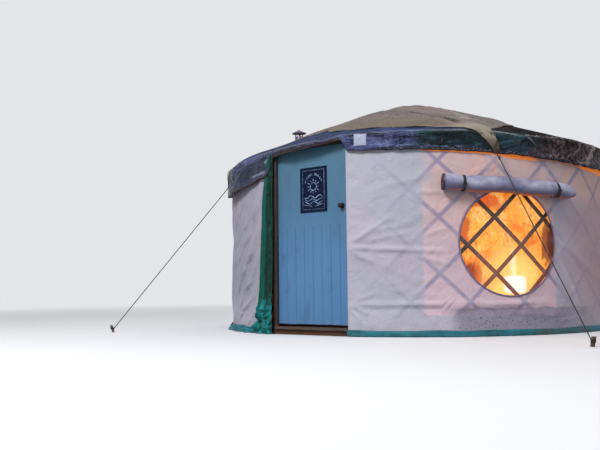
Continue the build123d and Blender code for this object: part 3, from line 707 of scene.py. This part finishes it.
def wall_radius(s, z):
    """How far out the canvas lies, from its place along the wall and its height."""
    bearing = np.degrees(s / WALL)
    out = 0.004 * noise(s * 2, z * 2, 3) + 0.0035 * noise(s * 6, z * 5, 4)
    # pressed on the laths, slack between
    parts = [s / PITCH + side * z / (2 * LATTICE_ROW) + lath_start(side) for side in (1, -1)]
    out += 0.0025 * np.maximum(*(bump(np.abs(part % 1 - np.round(part % 1)), 0, 0.1) for part in parts))
    # between door and window: level creases half way up and near the ground, fans from the door's edge
    for a, low, b, high, width, depth in (
            (8, 0.822, 37, 0.762, 0.018, 0.028), (11.2, 0.86, 36, 0.80, 0.022, -0.014),
            (7, 0.29, 66, 0.285, 0.02, 0.026), (11.2, 0.245, 60, 0.25, 0.025, -0.012),
            (11.6, 0.83, 24, 1.11, 0.022, 0.02), (11.6, 0.80, 19, 0.66, 0.02, 0.018),
            (12, 0.83, 30, 0.96, 0.02, 0.014), (11.6, 0.28, 15, 0.13, 0.016, 0.02),
            (11.9, 0.29, 17.5, 0.2, 0.016, 0.018), (12, 0.3, 20, 0.41, 0.018, 0.012),
            (29, 1.31, 37, 1.3, 0.014, 0.016), (28, 0.74, 39, 0.62, 0.018, 0.014),
            (30, 0.9, 38, 1.0, 0.018, 0.012), (35, 0.26, 66, 0.31, 0.016, 0.014),
            (67.2, 0.871, 84, 0.5, 0.03, 0.02), (67.7, 0.72, 76, 0.15, 0.025, 0.018)):
        out += crease(s, z, at(a, low), at(b, high), width, depth)
    for start, end, width, share in LEFT_FOLDS:
        out += crease(s, z, at(*start), at(*end), width * 1.3, 0.05 * share)
    for count, seed, size, (a, b, low, high), lean, width, depth in (
            (34, 11, 0.7, (12, 36, 0.1, 1.7), (-0.6, 0.6), (0.02, 0.04), 0.009),
            # right of the window, running down to the right, and round its lower edge
            (30, 12, 0.9, (66, 104, 0.1, 1.2), (-1.1, -0.5), (0.018, 0.04), 0.018),
            (16, 15, 0.45, (34, 72, 0.1, 0.33), (-0.4, 0.4), (0.012, 0.02), 0.01),
            # left of the door, long and from upper right to lower left, and all over the back
            (34, 13, 1.4, (308, 345, 0.05, 1.6), (0.85, 1.3), (0.025, 0.05), 0.04),
            (90, 14, 1.1, (100, 300, 0.1, 1.7), (0, pi), (0.018, 0.045), 0.017)):
        out += loose_creases(s, z, count, seed, size, (along(a), along(b), low, high), lean, width, depth)
    foot = np.exp(-z / 0.06) * (0.006 + 0.006 * noise(s * 5, z, 5))
    calm = smooth(np.hypot(s - WINDOW_MIDDLE, z - WINDOW_HEIGHT), WINDOW_RADIUS, WINDOW_RADIUS + 0.12)
    edges = 0.3 + 0.7 * smooth(bearing, CANVAS_START, 14) * smooth(bearing, 342.5, 338)
    return WALL + 0.0015 + np.maximum((out + foot) * edges * (0.15 + 0.85 * calm), -0.0045)


def make_wall():
    """The canvas: a grid, with a square of it round the window replaced by rings that narrow to the hole."""
    half, patch, first_column, first_row, rings = 0.66, 72, 60, 13, 8
    columns = spread(along(CANVAS_START), (WINDOW_MIDDLE - half, first_column),
                     (WINDOW_MIDDLE + half, patch), (along(118), 65), (along(296), 169),
                     (along(CANVAS_END), 103))
    rows = spread(CANVAS_FOOT, (WINDOW_HEIGHT - half, first_row), (WINDOW_HEIGHT + half, patch),
                  (CANVAS_TOP, 11))
    flat = table(*np.meshgrid(columns, rows))
    wide = len(columns)
    in_patch = lambda i: 0 <= i // wide - first_row < patch and 0 <= i % wide - first_column < patch
    faces = [f for f in grid_faces(len(rows), wide) if not in_patch(f[0])]
    corner = lambda row, column: (first_row + row) * wide + first_column + column
    steps = range(patch)
    rim = [corner(0, k) for k in steps] + [corner(k, patch) for k in steps]
    rim += [corner(patch, patch - k) for k in steps] + [corner(patch - k, 0) for k in steps]
    edge = flat[rim]
    angle = np.arctan2(edge[:, 1] - WINDOW_HEIGHT, edge[:, 0] - WINDOW_MIDDLE)
    circle = table(WINDOW_MIDDLE + WINDOW_RADIUS * np.cos(angle),
                   WINDOW_HEIGHT + WINDOW_RADIUS * np.sin(angle))
    for step in range(1, rings + 1):
        share = (step / rings) ** 0.8
        inner = list(range(len(flat), len(flat) + len(rim)))
        flat = np.concatenate([flat, edge * (1 - share) + circle * share])
        faces += zip(rim, rim[1:] + rim[:1], inner[1:] + inner[:1], inner)
        rim = inner
    s, z = flat.T
    turn = np.degrees(s / WALL)
    # left of the door its top is lower
    height = z - 0.05 * smooth(turn, 250, 285) * smooth(z, 1.4, 1.81)
    made = piece("wall_canvas", (polar(turn, wall_radius(s, z), height), faces), "canvas",
                 replaces=[n for n in nodes if n.startswith("wall_") and n != "wall_hem"], flat=flat,
                 thickness=0.0015)


# The tarpaulin's lower edge: bearing and height
BAND_FOOT = np.array([
    (-180, 1.65), (-150, 1.64), (-120, 1.65), (-90, 1.62), (-60, 1.56), (-45, 1.50), (-36.4, 1.465),
    (-28, 1.492), (-22.3, 1.523), (-17.8, 1.556), (-14.8, 1.567), (-13.6, 1.60), (-11.6, 1.752),
    (-9.1, 1.764), (-1.8, 1.778), (4.55, 1.798), (9.2, 1.818), (10.8, 1.825), (11.5, 1.77), (12.0, 1.728),
    (12.9, 1.719), (20, 1.704), (30.4, 1.691), (40, 1.672), (50.2, 1.653), (61.7, 1.623), (76.9, 1.591),
    (92, 1.60), (120, 1.63), (150, 1.655), (180, 1.65)])
# How much higher or lower than the eave's corner the tarpaulin's corner lies
BAND_TOP = np.array([
    (-180, 0), (-120, 0), (-75, -0.03), (-30, -0.035), (-17.7, -0.018), (-8.75, -0.005), (-1.5, 0.004),
    (4.7, 0.018), (10.4, 0.036), (20.8, 0.03), (30.5, 0.026), (42.2, 0.028), (50, 0.01), (56, -0.008),
    (84, -0.012), (120, 0), (180, 0)])


def tarp_point(bearing, d, above=0.0):
    """Places on the tarpaulin, d metres down its edge from the eave's corner, or up the slope if negative."""
    turn = wrap(bearing)
    left_side = smooth(turn, -18, -34) * smooth(turn, -120, -80)
    ease = EAVE_EASE + 0.075 * left_side
    in_slope = np.where(d < -ease, d, np.where(d > ease, 0.0, -(ease - d) ** 2 / (4 * ease)))
    drop = d - in_slope
    lift = np.interp(turn, *BAND_TOP.T)
    lift = lift * np.where(lift < 0, smooth(d, -0.13, -0.02), smooth(d, -0.45, -0.04))
    radius = EAVE_RADIUS + TARP_OUT + in_slope * cos(SLOPE) + left_side * 0.042 * smooth(d, -0.25, 0.0)
    height = EAVE_HEIGHT + TARP_UP - in_slope * sin(SLOPE) - drop + lift
    # the way out of the cloth
    share = smooth(d, -0.02, 0.06)
    nx, nz = sin(SLOPE) * (1 - share) + share, cos(SLOPE) * (1 - share)
    nx, nz = nx / np.hypot(nx, nz), nz / np.hypot(nx, nz)
    # slack between the poles, and folds
    bay = (bearing - LATTICE_BEARING - LATTICE_STEP / 2) / LATTICE_STEP * 360
    sag = (1 - np.cos(np.radians(bay) + np.pi)) / 2
    off = -0.008 * sag * smooth(-d, 0.05, 0.4) * smooth(-d, 1.6, 1.2) * smooth(np.abs(turn), 180, 174)
    hang, turns = smooth(d, -0.03, 0.05), bearing / 360
    for size, steps, rows, seed in ((0.008, 64, 6, 21), (0.006, 128, 16, 22)):
        off = off + hang * size * (1 + noise(turns * steps, d * rows, seed))
    # a fold along the top of the hanging edge, and fans of folds at its corners
    off = off + 0.014 * bump(d, 0.03, 0.014) * (0.6 + 0.4 * noise(turns * 128, 0, 23))
    fan = bump(turn, 70, 12) + 0.6 * bump(turn, 88, 6) + 0.5 * bump(turn, -30, 8)
    spread_out = (turn - 57) / (0.25 + np.maximum(d, 0) * 4)
    waves = 1 + np.sin(spread_out * 1.7 + noise(turn / 3, d * 8, 26))
    off = off + smooth(d, -0.12, 0.03) * fan * 0.014 * waves
    s = np.radians(bearing) * EAVE_RADIUS % EAVE_GIRTH
    for count, seed, size, reach, lean, width, depth in (
            (60, 31, 0.5, (-0.25, 0.2), (-0.5, 0.5), (0.008, 0.022), 0.01),
            (50, 32, 0.9, (-1.7, -0.2), (0.2, 2.9), (0.015, 0.04), 0.006)):
        off = off + loose_creases(s, d, count, seed, size, (0, EAVE_GIRTH, *reach), lean, width, depth)
    off = np.maximum(off, -0.006) + above
    return polar(bearing, radius + nx * off, height + nz * off)


def make_roof():
    """The tarpaulin, from the crown over the eave to its lower edge, with a hole for the flue."""
    bearing = np.linspace(-180, 180, 901)
    turn = wrap(bearing)
    foot = EAVE_HEIGHT + TARP_UP + np.interp(turn, *BAND_TOP.T) - np.interp(turn, *BAND_FOOT.T)
    foot = foot + 0.004 * noise(bearing / 360 * 320, 0, 24) * (np.abs(turn) > 12)
    top = (ROOF_OPENING - EAVE_RADIUS) / cos(SLOPE)
    up_slope = spread(0, (0.82, 15), (1, 8))[:-1, None] + 0 * bearing
    down = spread(0, (0.82, 15), (0.88, 1), (1, 3))[:, None]
    d = np.concatenate([top * (1 - up_slope) - EAVE_EASE * up_slope, (foot + EAVE_EASE) * down - EAVE_EASE])
    b = np.broadcast_to(bearing, d.shape)
    points = tarp_point(b, d)
    near_flue = np.hypot(*(points - polar(FLUE_BEARING, FLUE_DISTANCE, 0)).T[:2]) < FLUE_HOLE
    faces = np.array([f for f in grid_faces(*d.shape, downward=True) if not all(near_flue[i] for i in f)])
    used = np.unique(faces)
    # metres along the eave, up from its corner and up from the lower edge
    flat = table(np.radians(b) * EAVE_RADIUS, -d, foot - d)[used]
    made = piece("roof_tarpaulin", (points[used], np.searchsorted(used, faces).tolist()), "tarp",
                 replaces=("roof_cover", "roof_valance"), flat=flat, thickness=0.003, reverse="tarp_reverse")


def side_reach(turn, waist):
    """How far the cover reaches at an angle from an arm: each side is an arc from tip to tip by its waist."""
    centre = (ARM_TIP ** 2 + ARM_HALF ** 2 - waist ** 2) / (2 * (ARM_TIP + ARM_HALF) - 2 * sqrt(2) * waist)
    near = centre * (cos(radians(turn)) + sin(radians(turn)))
    inside = near ** 2 - 2 * centre ** 2 + 2 * (centre - waist / sqrt(2)) ** 2
    return near - copysign(sqrt(max(inside, 0)), centre)


def make_cover():
    """The canvas square over the crown, with its four arms."""
    quarter = spread(0, (3, 16), (12, 14), (45, 19))
    steps = np.concatenate([quarter, 90 - quarter[::-1][1:-1]])
    bearing = np.concatenate([GUY_BEARING + 90 * k + steps for k in range(4)])
    turn = (bearing - GUY_BEARING + 45) % 90 - 45
    arm = np.interp(np.abs(turn), [0.75, 2.3, 5.4, 9], [0.19, 0, -0.35, -1.5])
    side = [side_reach(step, waist) - drawn * bump(step, 20, 14)
            for waist, drawn in ((1.30, 0), (1.40, 0), (1.30, 0), (1.68, 0.52)) for step in steps]
    end = np.maximum(arm, (np.minimum(side, EAVE_RADIUS) - EAVE_RADIUS) / cos(SLOPE))
    start = -EAVE_RADIUS / cos(SLOPE)
    rows, count = 34, len(bearing)
    share = 0.004 + 0.996 * np.arange(rows)[:, None] / (rows - 1)
    d = start + (end - start) * share
    b = np.broadcast_to(bearing, d.shape)
    wave = 0.006 * noise(b / 360 * 64, d * 3, 41) + 0.008 * noise(b / 360 * 128, d * 2, 42)
    ridge = 0.018 * bump(turn, 0, 7) * smooth(d, -1.9, -1.2) * smooth(d, 0.05, -0.3)
    ridge = ridge * smooth(np.abs(wrap(b + 40)), 10, 30)
    lift = 0.008 + 0.012 * smooth(share, 0.95, 0.8) + np.maximum(wave, -0.004) + ridge
    edge = smooth(share, 0.95, 1.0) * 0.002 * (1 + noise(b / 360 * 192, d, 43)) * (1 - smooth(end, -0.2, 0))
    lean = -bump(turn, 0, 9) * smooth(d, -1.2, -0.2) * (0.7 + 3.6 * (1 - smooth(d, -0.05, 0.19)))
    points = tarp_point(b + lean, d, lift * smooth(share, 1.0, 0.9) + 0.006 + edge)
    x, y, z = points.T
    # folds that run out from the crown to the arms, and a long sunk seam across the front
    for start_at, end_at, width, depth in (((0.5, -0.35), (1.3, -1.05), 0.05, 0.012),
                                           ((0.5, -0.93), (1.36, -1.33), 0.035, 0.016),
                                           ((0.1, -0.43), (0.65, -0.39), 0.04, 0.008)):
        z = z + crease(x, y, start_at, end_at, width, depth)
    # the dome over the crown's spokes
    reach, foot, crest = 0.55, 2.458, 0.142
    radius = np.hypot(x, y)
    ribs = np.abs(np.cos(np.radians(b.ravel() * 4)))
    dome = foot + crest * np.clip(1 - (radius / reach) ** 2, 0, 1) ** 1.15
    dome = dome - 0.012 * (1 - ribs) * bump(radius, 0.3, 0.15)
    outside = smooth(radius, 0.5, 0.62)
    z = z * outside + dome * (1 - outside)
    points = np.vstack([table(x, y, z), [[0, 0, z[:count].mean()]]])
    flat = np.vstack([polar(b, d - start, 0)[:, :2], [[0, 0]]])
    faces = grid_faces(rows, count, True, True) + [(rows * count, k, (k + 1) % count) for k in range(count)]
    made = piece("crown_canvas", (points, faces), "cover", replaces=("crown_cover",),
                 flat=flat, thickness=0.002)


def make_hem():
    """The turquoise hem on the ground, rumpled left of the door."""
    s, share = np.meshgrid(np.linspace(along(11.3), along(341), 900), np.linspace(0, 1, 8))
    bearing = np.degrees(s / WALL)
    bell = 0.55 * smooth(bearing, 296, 318) * smooth(bearing, 345, 334)
    top = 0.056 + 0.006 * noise(s * 4, 0, 51) + 0.03 * bell * (1 + noise(s * 9, 0, 52)) / 2
    z = 0.002 + (top - 0.002) * share
    out = 0.003 + 0.006 * (1 + noise(s * 3, share, 53)) * (1 - share)
    out = out + 0.004 * (1 + noise(s * 14, share * 2, 54)) / 2
    crumple = np.abs(noise(s * 12, share * 3, 55)) + 0.5 * np.abs(noise(s * 25, share * 5, 56))
    out = out + bell * (0.05 * crumple + 0.05 * (1 - share))
    points = polar(bearing, wall_radius(s, z) + 0.003 + out, z)
    made = piece("ground_hem", (points, grid_faces(*s.shape)), "hem", replaces=("wall_hem",),
                 flat=table(s, z), thickness=0.0015)


def make_strip():
    """The green cloth that hangs left of the door, folded along its length and crumpled at its foot."""
    share, z = np.meshgrid(np.linspace(0, 1, 44), spread(0.003, (0.42, 47), (1.79, 49)))
    left = np.interp(z, [0, 0.54, 0.94, 1.6, 1.79], [-19.3, -18.2, -17.4, -15.8, -14.0])
    right = np.interp(z, [0, 0.94, 1.6, 1.79], [-11.9, -11.8, -11.8, -11.9])
    low = smooth(z, 0.5, 0.05)
    left = left - 0.6 * low * (0.5 + 0.5 * noise(z * 16, 0, 61))
    bearing = left + (right - left) * share
    waves = np.sin(share * 21 + 1.4 * noise(z * 2.5, share * 2, 62))
    fold = 0.011 * waves * (0.55 + 0.45 * noise(share * 5, z * 1.6, 63))
    fold = fold + 0.008 * noise(share * 9, z * 3, 64)
    crumple = 0.05 * np.abs(noise(share * 5 + 3, z * 16, 65)) + 0.03 * np.abs(noise(share * 11, z * 30, 66))
    foot = 0.03 * np.exp(-z / 0.09) * (0.6 + 0.4 * noise(share * 4, z, 67))
    radius = WALL + 0.024 + fold + low * crumple + foot
    radius = np.where(bearing > -13.6, np.maximum(radius, 2.135), radius)
    made = piece("green_strip", (polar(bearing, radius, z), grid_faces(*z.shape)), "strip",
                 replaces=("side_strip",), flat=table(share * 0.33, z), thickness=0.0015)


def roll_frame(turn):
    """The middle of the roll, that many degrees from its own middle, and the ways out and up from it."""
    out, side = spot(ROLL_BEARING, 1), spot(ROLL_BEARING + 90, 1)
    tilt, angle = radians(-ROLL_TILT), radians(turn)
    up = UP * cos(tilt) - side * sin(tilt)
    facing = out * cos(angle) + (side * cos(tilt) + UP * sin(tilt)) * sin(angle)
    return UP * ROLL_HEIGHT + facing * ROLL_REACH, facing, up


def roll_swell(turn):
    """The roll's size along its length: drawn in under the straps, tapered at its right end."""
    pinch = sum(bump(turn + ROLL_BEARING, b, 1.3) for b in STRAP_BEARINGS)
    return float((1 - 0.12 * pinch) * (1 - 0.5 * smooth(turn, ROLL_ARC / 2 - 3.5, ROLL_ARC / 2 + 0.5)))


def make_roll():
    """The window's flap, rolled up; its flat's third number is its share of the light from the window."""
    stations, steps = 58, 110
    points, flat = [], []
    for turn in np.linspace(-ROLL_ARC / 2, ROLL_ARC / 2, stations):
        centre, facing, up = roll_frame(turn)
        for share in np.linspace(0, 1, steps):
            angle = 2 * pi * ROLL_TURNS * share + 0.6 + 0.12 * sin(turn * 0.2)
            ripple = noise(turn * 0.35, angle * 0.9, 71) * 0.0035
            ripple += noise(turn * 0.9, angle * 0.4, 72) * 0.0025
            size = float((0.034 + (ROLL_RADIUS - 0.036) * share) * roll_swell(turn) + ripple * share)
            rise = sin(angle) * size * 1.03 - 0.004 * sin(turn * 0.5)
            points.append(centre + facing * (cos(angle) * size * 0.97) + up * rise)
            lit = smooth(-sin(angle), 0.72, 0.97) * smooth(turn, -19, -12)
            flat.append((radians(turn) * ROLL_REACH, share, 0.75 * lit))
    made = piece("rolled_flap", (points, grid_faces(stations, steps)), "roll",
                 replaces=("window_flap_roll",), flat=flat, thickness=0.0012)


def angles(count):
    return [2 * pi * k / count for k in range(count)]


def ring(centre, u, v, count):
    """Points round a centre, from its two half axes."""
    return [centre + u * cos(a) + v * sin(a) for a in angles(count)]


def ribbon(path, across, width, thickness):
    """A strap: a flat band that follows points, as a closed box section."""
    points = []
    for k, p in enumerate(path):
        ahead = (path[min(k + 1, len(path) - 1)] - path[max(k - 1, 0)]).normalized()
        normal = ahead.cross(across).normalized()
        points += [p + across * (a * width / 2) + normal * (b * thickness / 2)
                   for a, b in ((-1, -1), (1, -1), (1, 1), (-1, 1))]
    return points, rod_faces(len(path), 4)


def tube(path, radius, sides=8, closed=False):
    """A round tube along points, (points, faces)."""
    points, normal, count = [], None, len(path)
    for k, p in enumerate(path):
        before, after = (k - 1, (k + 1) % count) if closed else (max(k - 1, 0), min(k + 1, count - 1))
        ahead = (path[after] - path[before]).normalized()
        normal = normal or ahead.orthogonal().normalized()
        normal = (normal - ahead * normal.dot(ahead)).normalized()
        points += ring(p, normal * radius, ahead.cross(normal) * radius, sides)
    if closed:
        return points, [tuple(i % len(points) for i in f) for f in grid_faces(count + 1, sides, True)]
    return points, rod_faces(count, sides)


def join(parts):
    """Several (points, faces) as one."""
    points, faces = [], []
    for p, f in parts:
        faces += [tuple(len(points) + i for i in face) for face in f]
        points += p
    return points, faces


def make_straps():
    """The two straps round the roll, each with a knot in front and a tail that hangs from it."""
    parts = []
    for bearing in STRAP_BEARINGS:
        turn = bearing - ROLL_BEARING
        centre, facing, up = roll_frame(turn)
        side = facing.cross(up)
        size = ROLL_RADIUS * roll_swell(turn) + 0.002
        band = ring(centre, facing * (size * 0.97), up * (size * 1.03), 36)
        knot = centre + facing * (size + 0.004) - up * 0.01
        loop = [knot + side * (0.013 * cos(a)) + up * (0.009 * sin(a)) + facing * (0.003 * cos(2 * a))
                for a in angles(12)]
        tail = [knot + facing * (0.006 * sin(k * 0.7)) - up * (0.012 * k) + side * (0.003 * k)
                for k in range(7)]
        parts += [ribbon(band + band[:1], side, 0.024, 0.0022), tube(loop, 0.0065, 8, True),
                  ribbon(tail, side, 0.018, 0.0022)]
    shape = join(parts)
    piece("roll_straps", shape, "webbing", replaces=("flap_straps",),
          flat=[(p.x, p.z) for p in shape[0]])


def make_binding():
    """The stitched binding round the window: rings of points that grow outwards and stand proud."""
    section = np.array(((-0.006, 0.0045), (-0.004, 0.0062), (0.006, 0.0062), (0.009, 0.0035)))
    grow, proud = section.T[:, :, None]
    angle = np.array(angles(160))
    s = WINDOW_MIDDLE + (WINDOW_RADIUS + grow) * np.cos(angle)
    z = WINDOW_HEIGHT + (WINDOW_RADIUS + grow) * np.sin(angle)
    points = polar(np.degrees(s / WALL), wall_radius(s, z) + proud - 0.001, z)
    piece("window_binding", (points, grid_faces(*s.shape, True)), "binding",
          flat=table(angle * WINDOW_RADIUS, grow), thickness=0.0012)


def make_lining():
    """The orange lining that hangs inside the trellis behind the window."""
    s, z = np.meshgrid(np.linspace(along(33), along(73.5), 70), np.linspace(0.24, 1.45, 40))
    fold = 0.004 * np.sin(s * 34 + 1.5 * noise(s * 2, z * 1.5, 81)) + 0.003 * noise(s * 8, z * 2, 82)
    made = piece("window_lining", (polar(np.degrees(s / WALL), LINING + fold, z), grid_faces(*s.shape)),
                 "lining", flat=table(s, z), thickness=0.0012)


def make_label():
    """A small cloth patch on the tarpaulin by the door, left bare."""
    b, d = np.meshgrid(np.linspace(14.2, 17.4, 12), np.linspace(0.012, 0.125, 10))
    made = piece("bare_patch", (tarp_point(b, d, 0.006), grid_faces(*b.shape)), "label",
                 flat=table(np.radians(b) * 2.14, d), thickness=0.001)


def laid_rope(start, end, radius=0.005, pitch=0.04, strands=3, per_turn=9):
    """Laid rope between two points: strands that wind round each other."""
    ahead = (end - start).normalized()
    across = ahead.orthogonal().normalized()
    other = ahead.cross(across)
    length = (end - start).length
    count = int(length / pitch * per_turn)
    parts = []
    for strand in range(strands):
        path = []
        for k in range(count + 1):
            angle = 2 * pi * (k / per_turn + strand / strands)
            around = across * cos(angle) + other * sin(angle)
            path.append(start + ahead * (length * k / count) + around * radius * 0.5)
        parts.append(tube(path, radius * 0.52, 6))
    return parts


def make_guys():
    """Four guys: the rope, turns of it round the arm's bunched tip and round the peg, and a knot."""
    lean = tan(radians(18))
    peg_reach, tip_reach, tip_height = 3.455, 2.154, 1.658
    for corner in range(4):
        bearing = GUY_BEARING + 90 * corner
        out, side = spot(bearing, 1), spot(bearing + 90, 1)
        start = spot(bearing - 0.7, tip_reach, tip_height)
        peg = lambda h: out * (peg_reach + h * lean) + UP * h
        end = peg(0.041) - out * 0.018
        parts = laid_rope(start, end)
        parts += [tube(ring(start + UP * (0.008 * k), out * 0.014, side * 0.02, 14), 0.0055, 6, True)
                  for k in range(4)]
        parts += [tube(ring(peg(0.033 + 0.008 * k), out * 0.0175, side * 0.0165, 16), 0.0042, 6, True)
                  for k in range(3)]
        knot = start + (end - start) * 0.035
        loop = [knot + out * (0.008 * cos(a)) + UP * (0.012 * sin(a)) + side * (0.005 * sin(2 * a))
                for a in angles(14)]
        shape = join(parts + [tube(loop, 0.0045, 6, True)])
        piece(f"guy_rope_{corner + 1}", shape, "rope", replaces=("guy_ropes",),
              flat=[(p.x, p.z) for p in shape[0]])


def box_piece(name, low, high, material, body, replaces=(), bevel=0.001):
    """A block with its edges eased."""
    (lx, ly, lz), (hx, hy, hz) = low, high
    points = [(x, y, z) for z in (lz, hz) for y in (ly, hy) for x in (lx, hx)]
    faces = [(0, 2, 3, 1), (4, 5, 7, 6), (0, 1, 5, 4), (2, 6, 7, 3), (0, 4, 6, 2), (1, 3, 7, 5)]
    made = piece(name, (points, faces), material, body, replaces, rounded=False)
    ease = made.modifiers.new("eased", "BEVEL")
    ease.width, ease.segments = bevel, 2


def make_door():
    """Upright boards with V joints, their lower ends a little uneven, and a flush panel above."""
    low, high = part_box("door_leaf")
    joints = [low.x, -0.318, -0.213, -0.106, 0.0, 0.105, 0.211, 0.316, high.x]
    waist, steps = 1.04, 7
    draw = np.random.default_rng(91)
    parts = []
    for left, right in zip(joints, joints[1:]):
        front = low.y + 0.0015 + draw.uniform(0, 0.001)
        foot = low.z + draw.uniform(0, 0.007)
        for start, stop, y, v in ((foot, waist, front, 0.005), (waist, high.z, low.y + 0.0015, 0.0003)):
            outline = [(left, high.y), (left, y + v), (left + v, y), (right - v, y), (right, y + v),
                       (right, high.y)]
            points = [(px, py, z) for z in np.linspace(start, stop, steps) for px, py in outline]
            parts.append((points, rod_faces(steps, len(outline))))
    piece("door_boards", join(parts), "door", "door", ("door_leaf",), rounded=False)
    box_piece("door_foot_board", (low.x + 0.001, low.y + 0.014, low.z),
              (high.x - 0.001, high.y - 0.001, low.z + 0.012), "ledge", "door")


def make_sign():
    """A dark panel in a thin frame, with a plain sun, hills and leaves painted on it."""
    low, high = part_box("door_sign")
    box_piece("sign_panel", (low.x + 0.004, low.y + 0.001, low.z + 0.004),
              (high.x - 0.004, high.y, high.z - 0.004), "sign", "door", ("door_sign",))
    w = 0.009
    sides = [((low.x, low.z), (low.x + w, high.z)), ((high.x - w, low.z), (high.x, high.z)),
             ((low.x + w, low.z), (high.x - w, low.z + w)), ((low.x + w, high.z - w), (high.x - w, high.z))]
    for k, ((ax, az), (bx, bz)) in enumerate(sides):
        box_piece(f"sign_edge_{k + 1}", (ax, low.y - 0.0015, az), (bx, high.y, bz), "sign",
                  "door", bevel=0.0015)
    parts = []

    def stroke(points, width, closed=False):
        """A thin painted line, from (x, z) pairs."""
        parts.append(tube([Vector((x, 0, z)) for x, z in points], width / 2, 6, closed))

    sun = Vector((0, 0, 0.03))
    stroke([(-0.128, -0.192), (0.128, -0.192), (0.128, 0.192), (-0.128, 0.192)], 0.004, True)
    stroke([(p.x, p.z) for p in ring(sun, Vector((0.038, 0, 0)), UP * 0.038, 24)], 0.007, True)
    for k, a in enumerate(angles(12)):
        stroke([(r * cos(a), sun.z + r * sin(a)) for r in (0.05, 0.066 + 0.01 * (k % 2))], 0.007)
    for level, swell in ((-0.07, 0.014), (-0.1, 0.01), (-0.128, 0.012)):
        stroke([(-0.105 + 0.01 * k, level + swell * sin(k * 0.6 + level * 40)) for k in range(22)], 0.008)
    for side in (-1, 1):
        for k in range(5):
            x, z = side * (0.02 + 0.019 * k), 0.148 - 0.004 * k * k
            stroke([(x, z - 0.012), (x + side * 0.007, z), (x, z + 0.012), (x - side * 0.007, z)],
                   0.006, True)
            stroke([(x, -0.165 + 0.004 * k), (x + side * 0.012, -0.158 + 0.004 * k)], 0.006)
    points, faces = join(parts)
    middle = (low + high) / 2
    points = [(middle.x + p.x, low.y + 0.0006 + p.y * 0.2, middle.z + p.z) for p in points]
    piece("sign_ornament", (points, faces), "chalk", "door")


def make_clamp():
    """The clamp round the flue above its flashing."""
    radius, height = 0.0525, 2.27
    middle = spot(FLUE_BEARING, FLUE_DISTANCE, height)
    path = ring(middle, Vector((radius, 0, 0)), Vector((0, radius, 0)), 40)
    piece("flue_clamp", tube(path, 0.0035, 8, True), "iron")


for make in (make_wall, make_roof, make_cover, make_hem, make_strip, make_straps, make_roll, make_binding,
             make_lining, make_label, make_guys, make_door, make_sign, make_clamp):
    make()

# Carried-over nodes get their materials
for finish, names in {
        "crown": ("crown_ring", "crown_spokes"), "frame": ("door_head", "door_jamb_left", "door_jamb_right"),
        "iron": ("door_knobs", "hinge_pins", "hinge_straps"), "ledge": ("door_ledges",),
        "pole": ("door_poles", "roof_poles"), "bearer": ("floor_bearers",), "floor": ("floor_boards",),
        "steel": ("flue_cowl", "flue_flashing", "flue_pipe"), "peg": ("guy_pegs",),
        "red_board": ("threshold_board",), "plank": ("threshold_plank",), "film": ("window_pane",),
        "lath": [f"lattice_section_{k}" for k in range(1, 7)]}.items():
    for name in names:
        nodes[name].data.materials.clear()
        nodes[name].data.materials.append(MATERIALS[finish])


# Floor, light and background
def make_stage():
    size, drop = 60, 0.002
    corners = [(x, y, -drop) for x, y in ((-size, -size), (size, -size), (size, size), (-size, size))]
    mesh = bpy.data.meshes.new("floor")
    mesh.from_pydata(corners, [], [(0, 1, 2, 3)])
    paint = Paint("floor_stage", Roughness=0.95)
    x, y, _ = paint.place().axes()
    camera = paint.node("LightPath", {}, "Is Camera Ray")
    paint.set(Base_Color=paint.mix(camera, 0xAAAAAE, 0xF4F4F7))
    away = (x * x + y * y).math("SQRT").rise(5.0, 16.0)
    paint.blend(away * camera, paint.shader, paint.node("Emission", {"Color": BACKGROUND}))
    mesh.materials.append(paint.material)
    link("floor", mesh)


def make_light():
    world = bpy.data.worlds.new("world")
    bpy.context.scene.world = world
    tree = Tree(world, "World")
    seen = tree.node("LightPath", {}, "Is Camera Ray")
    seen = seen.larger(tree.node("LightPath", {}, "Is Glossy Ray"))
    light, behind = (tree.node("Background", {"Color": colour, "Strength": strength})
                     for colour, strength in (((0.95, 0.97, 1.0, 1), 0.4), (BACKGROUND, 1.0)))
    tree.blend(seen, light, behind)
    for name, place, size, power in (("key", (0.5, -9.0, 6.8), 2.6, 620), ("fill", (9.0, -4.0, 4.0), 5, 60),
                                     ("back", (-3.0, 9.0, 7.0), 6, 260)):
        data = bpy.data.lights.new(name, "AREA")
        data.size, data.energy = size, power
        lamp = link(name, data)
        lamp.location = place
        lamp.rotation_mode = "QUATERNION"
        lamp.rotation_quaternion = (Vector(place) - UP * 1.1).to_track_quat("Z", "Y")


make_stage()
make_light()
bpy.context.scene.view_settings.view_transform = "Standard"
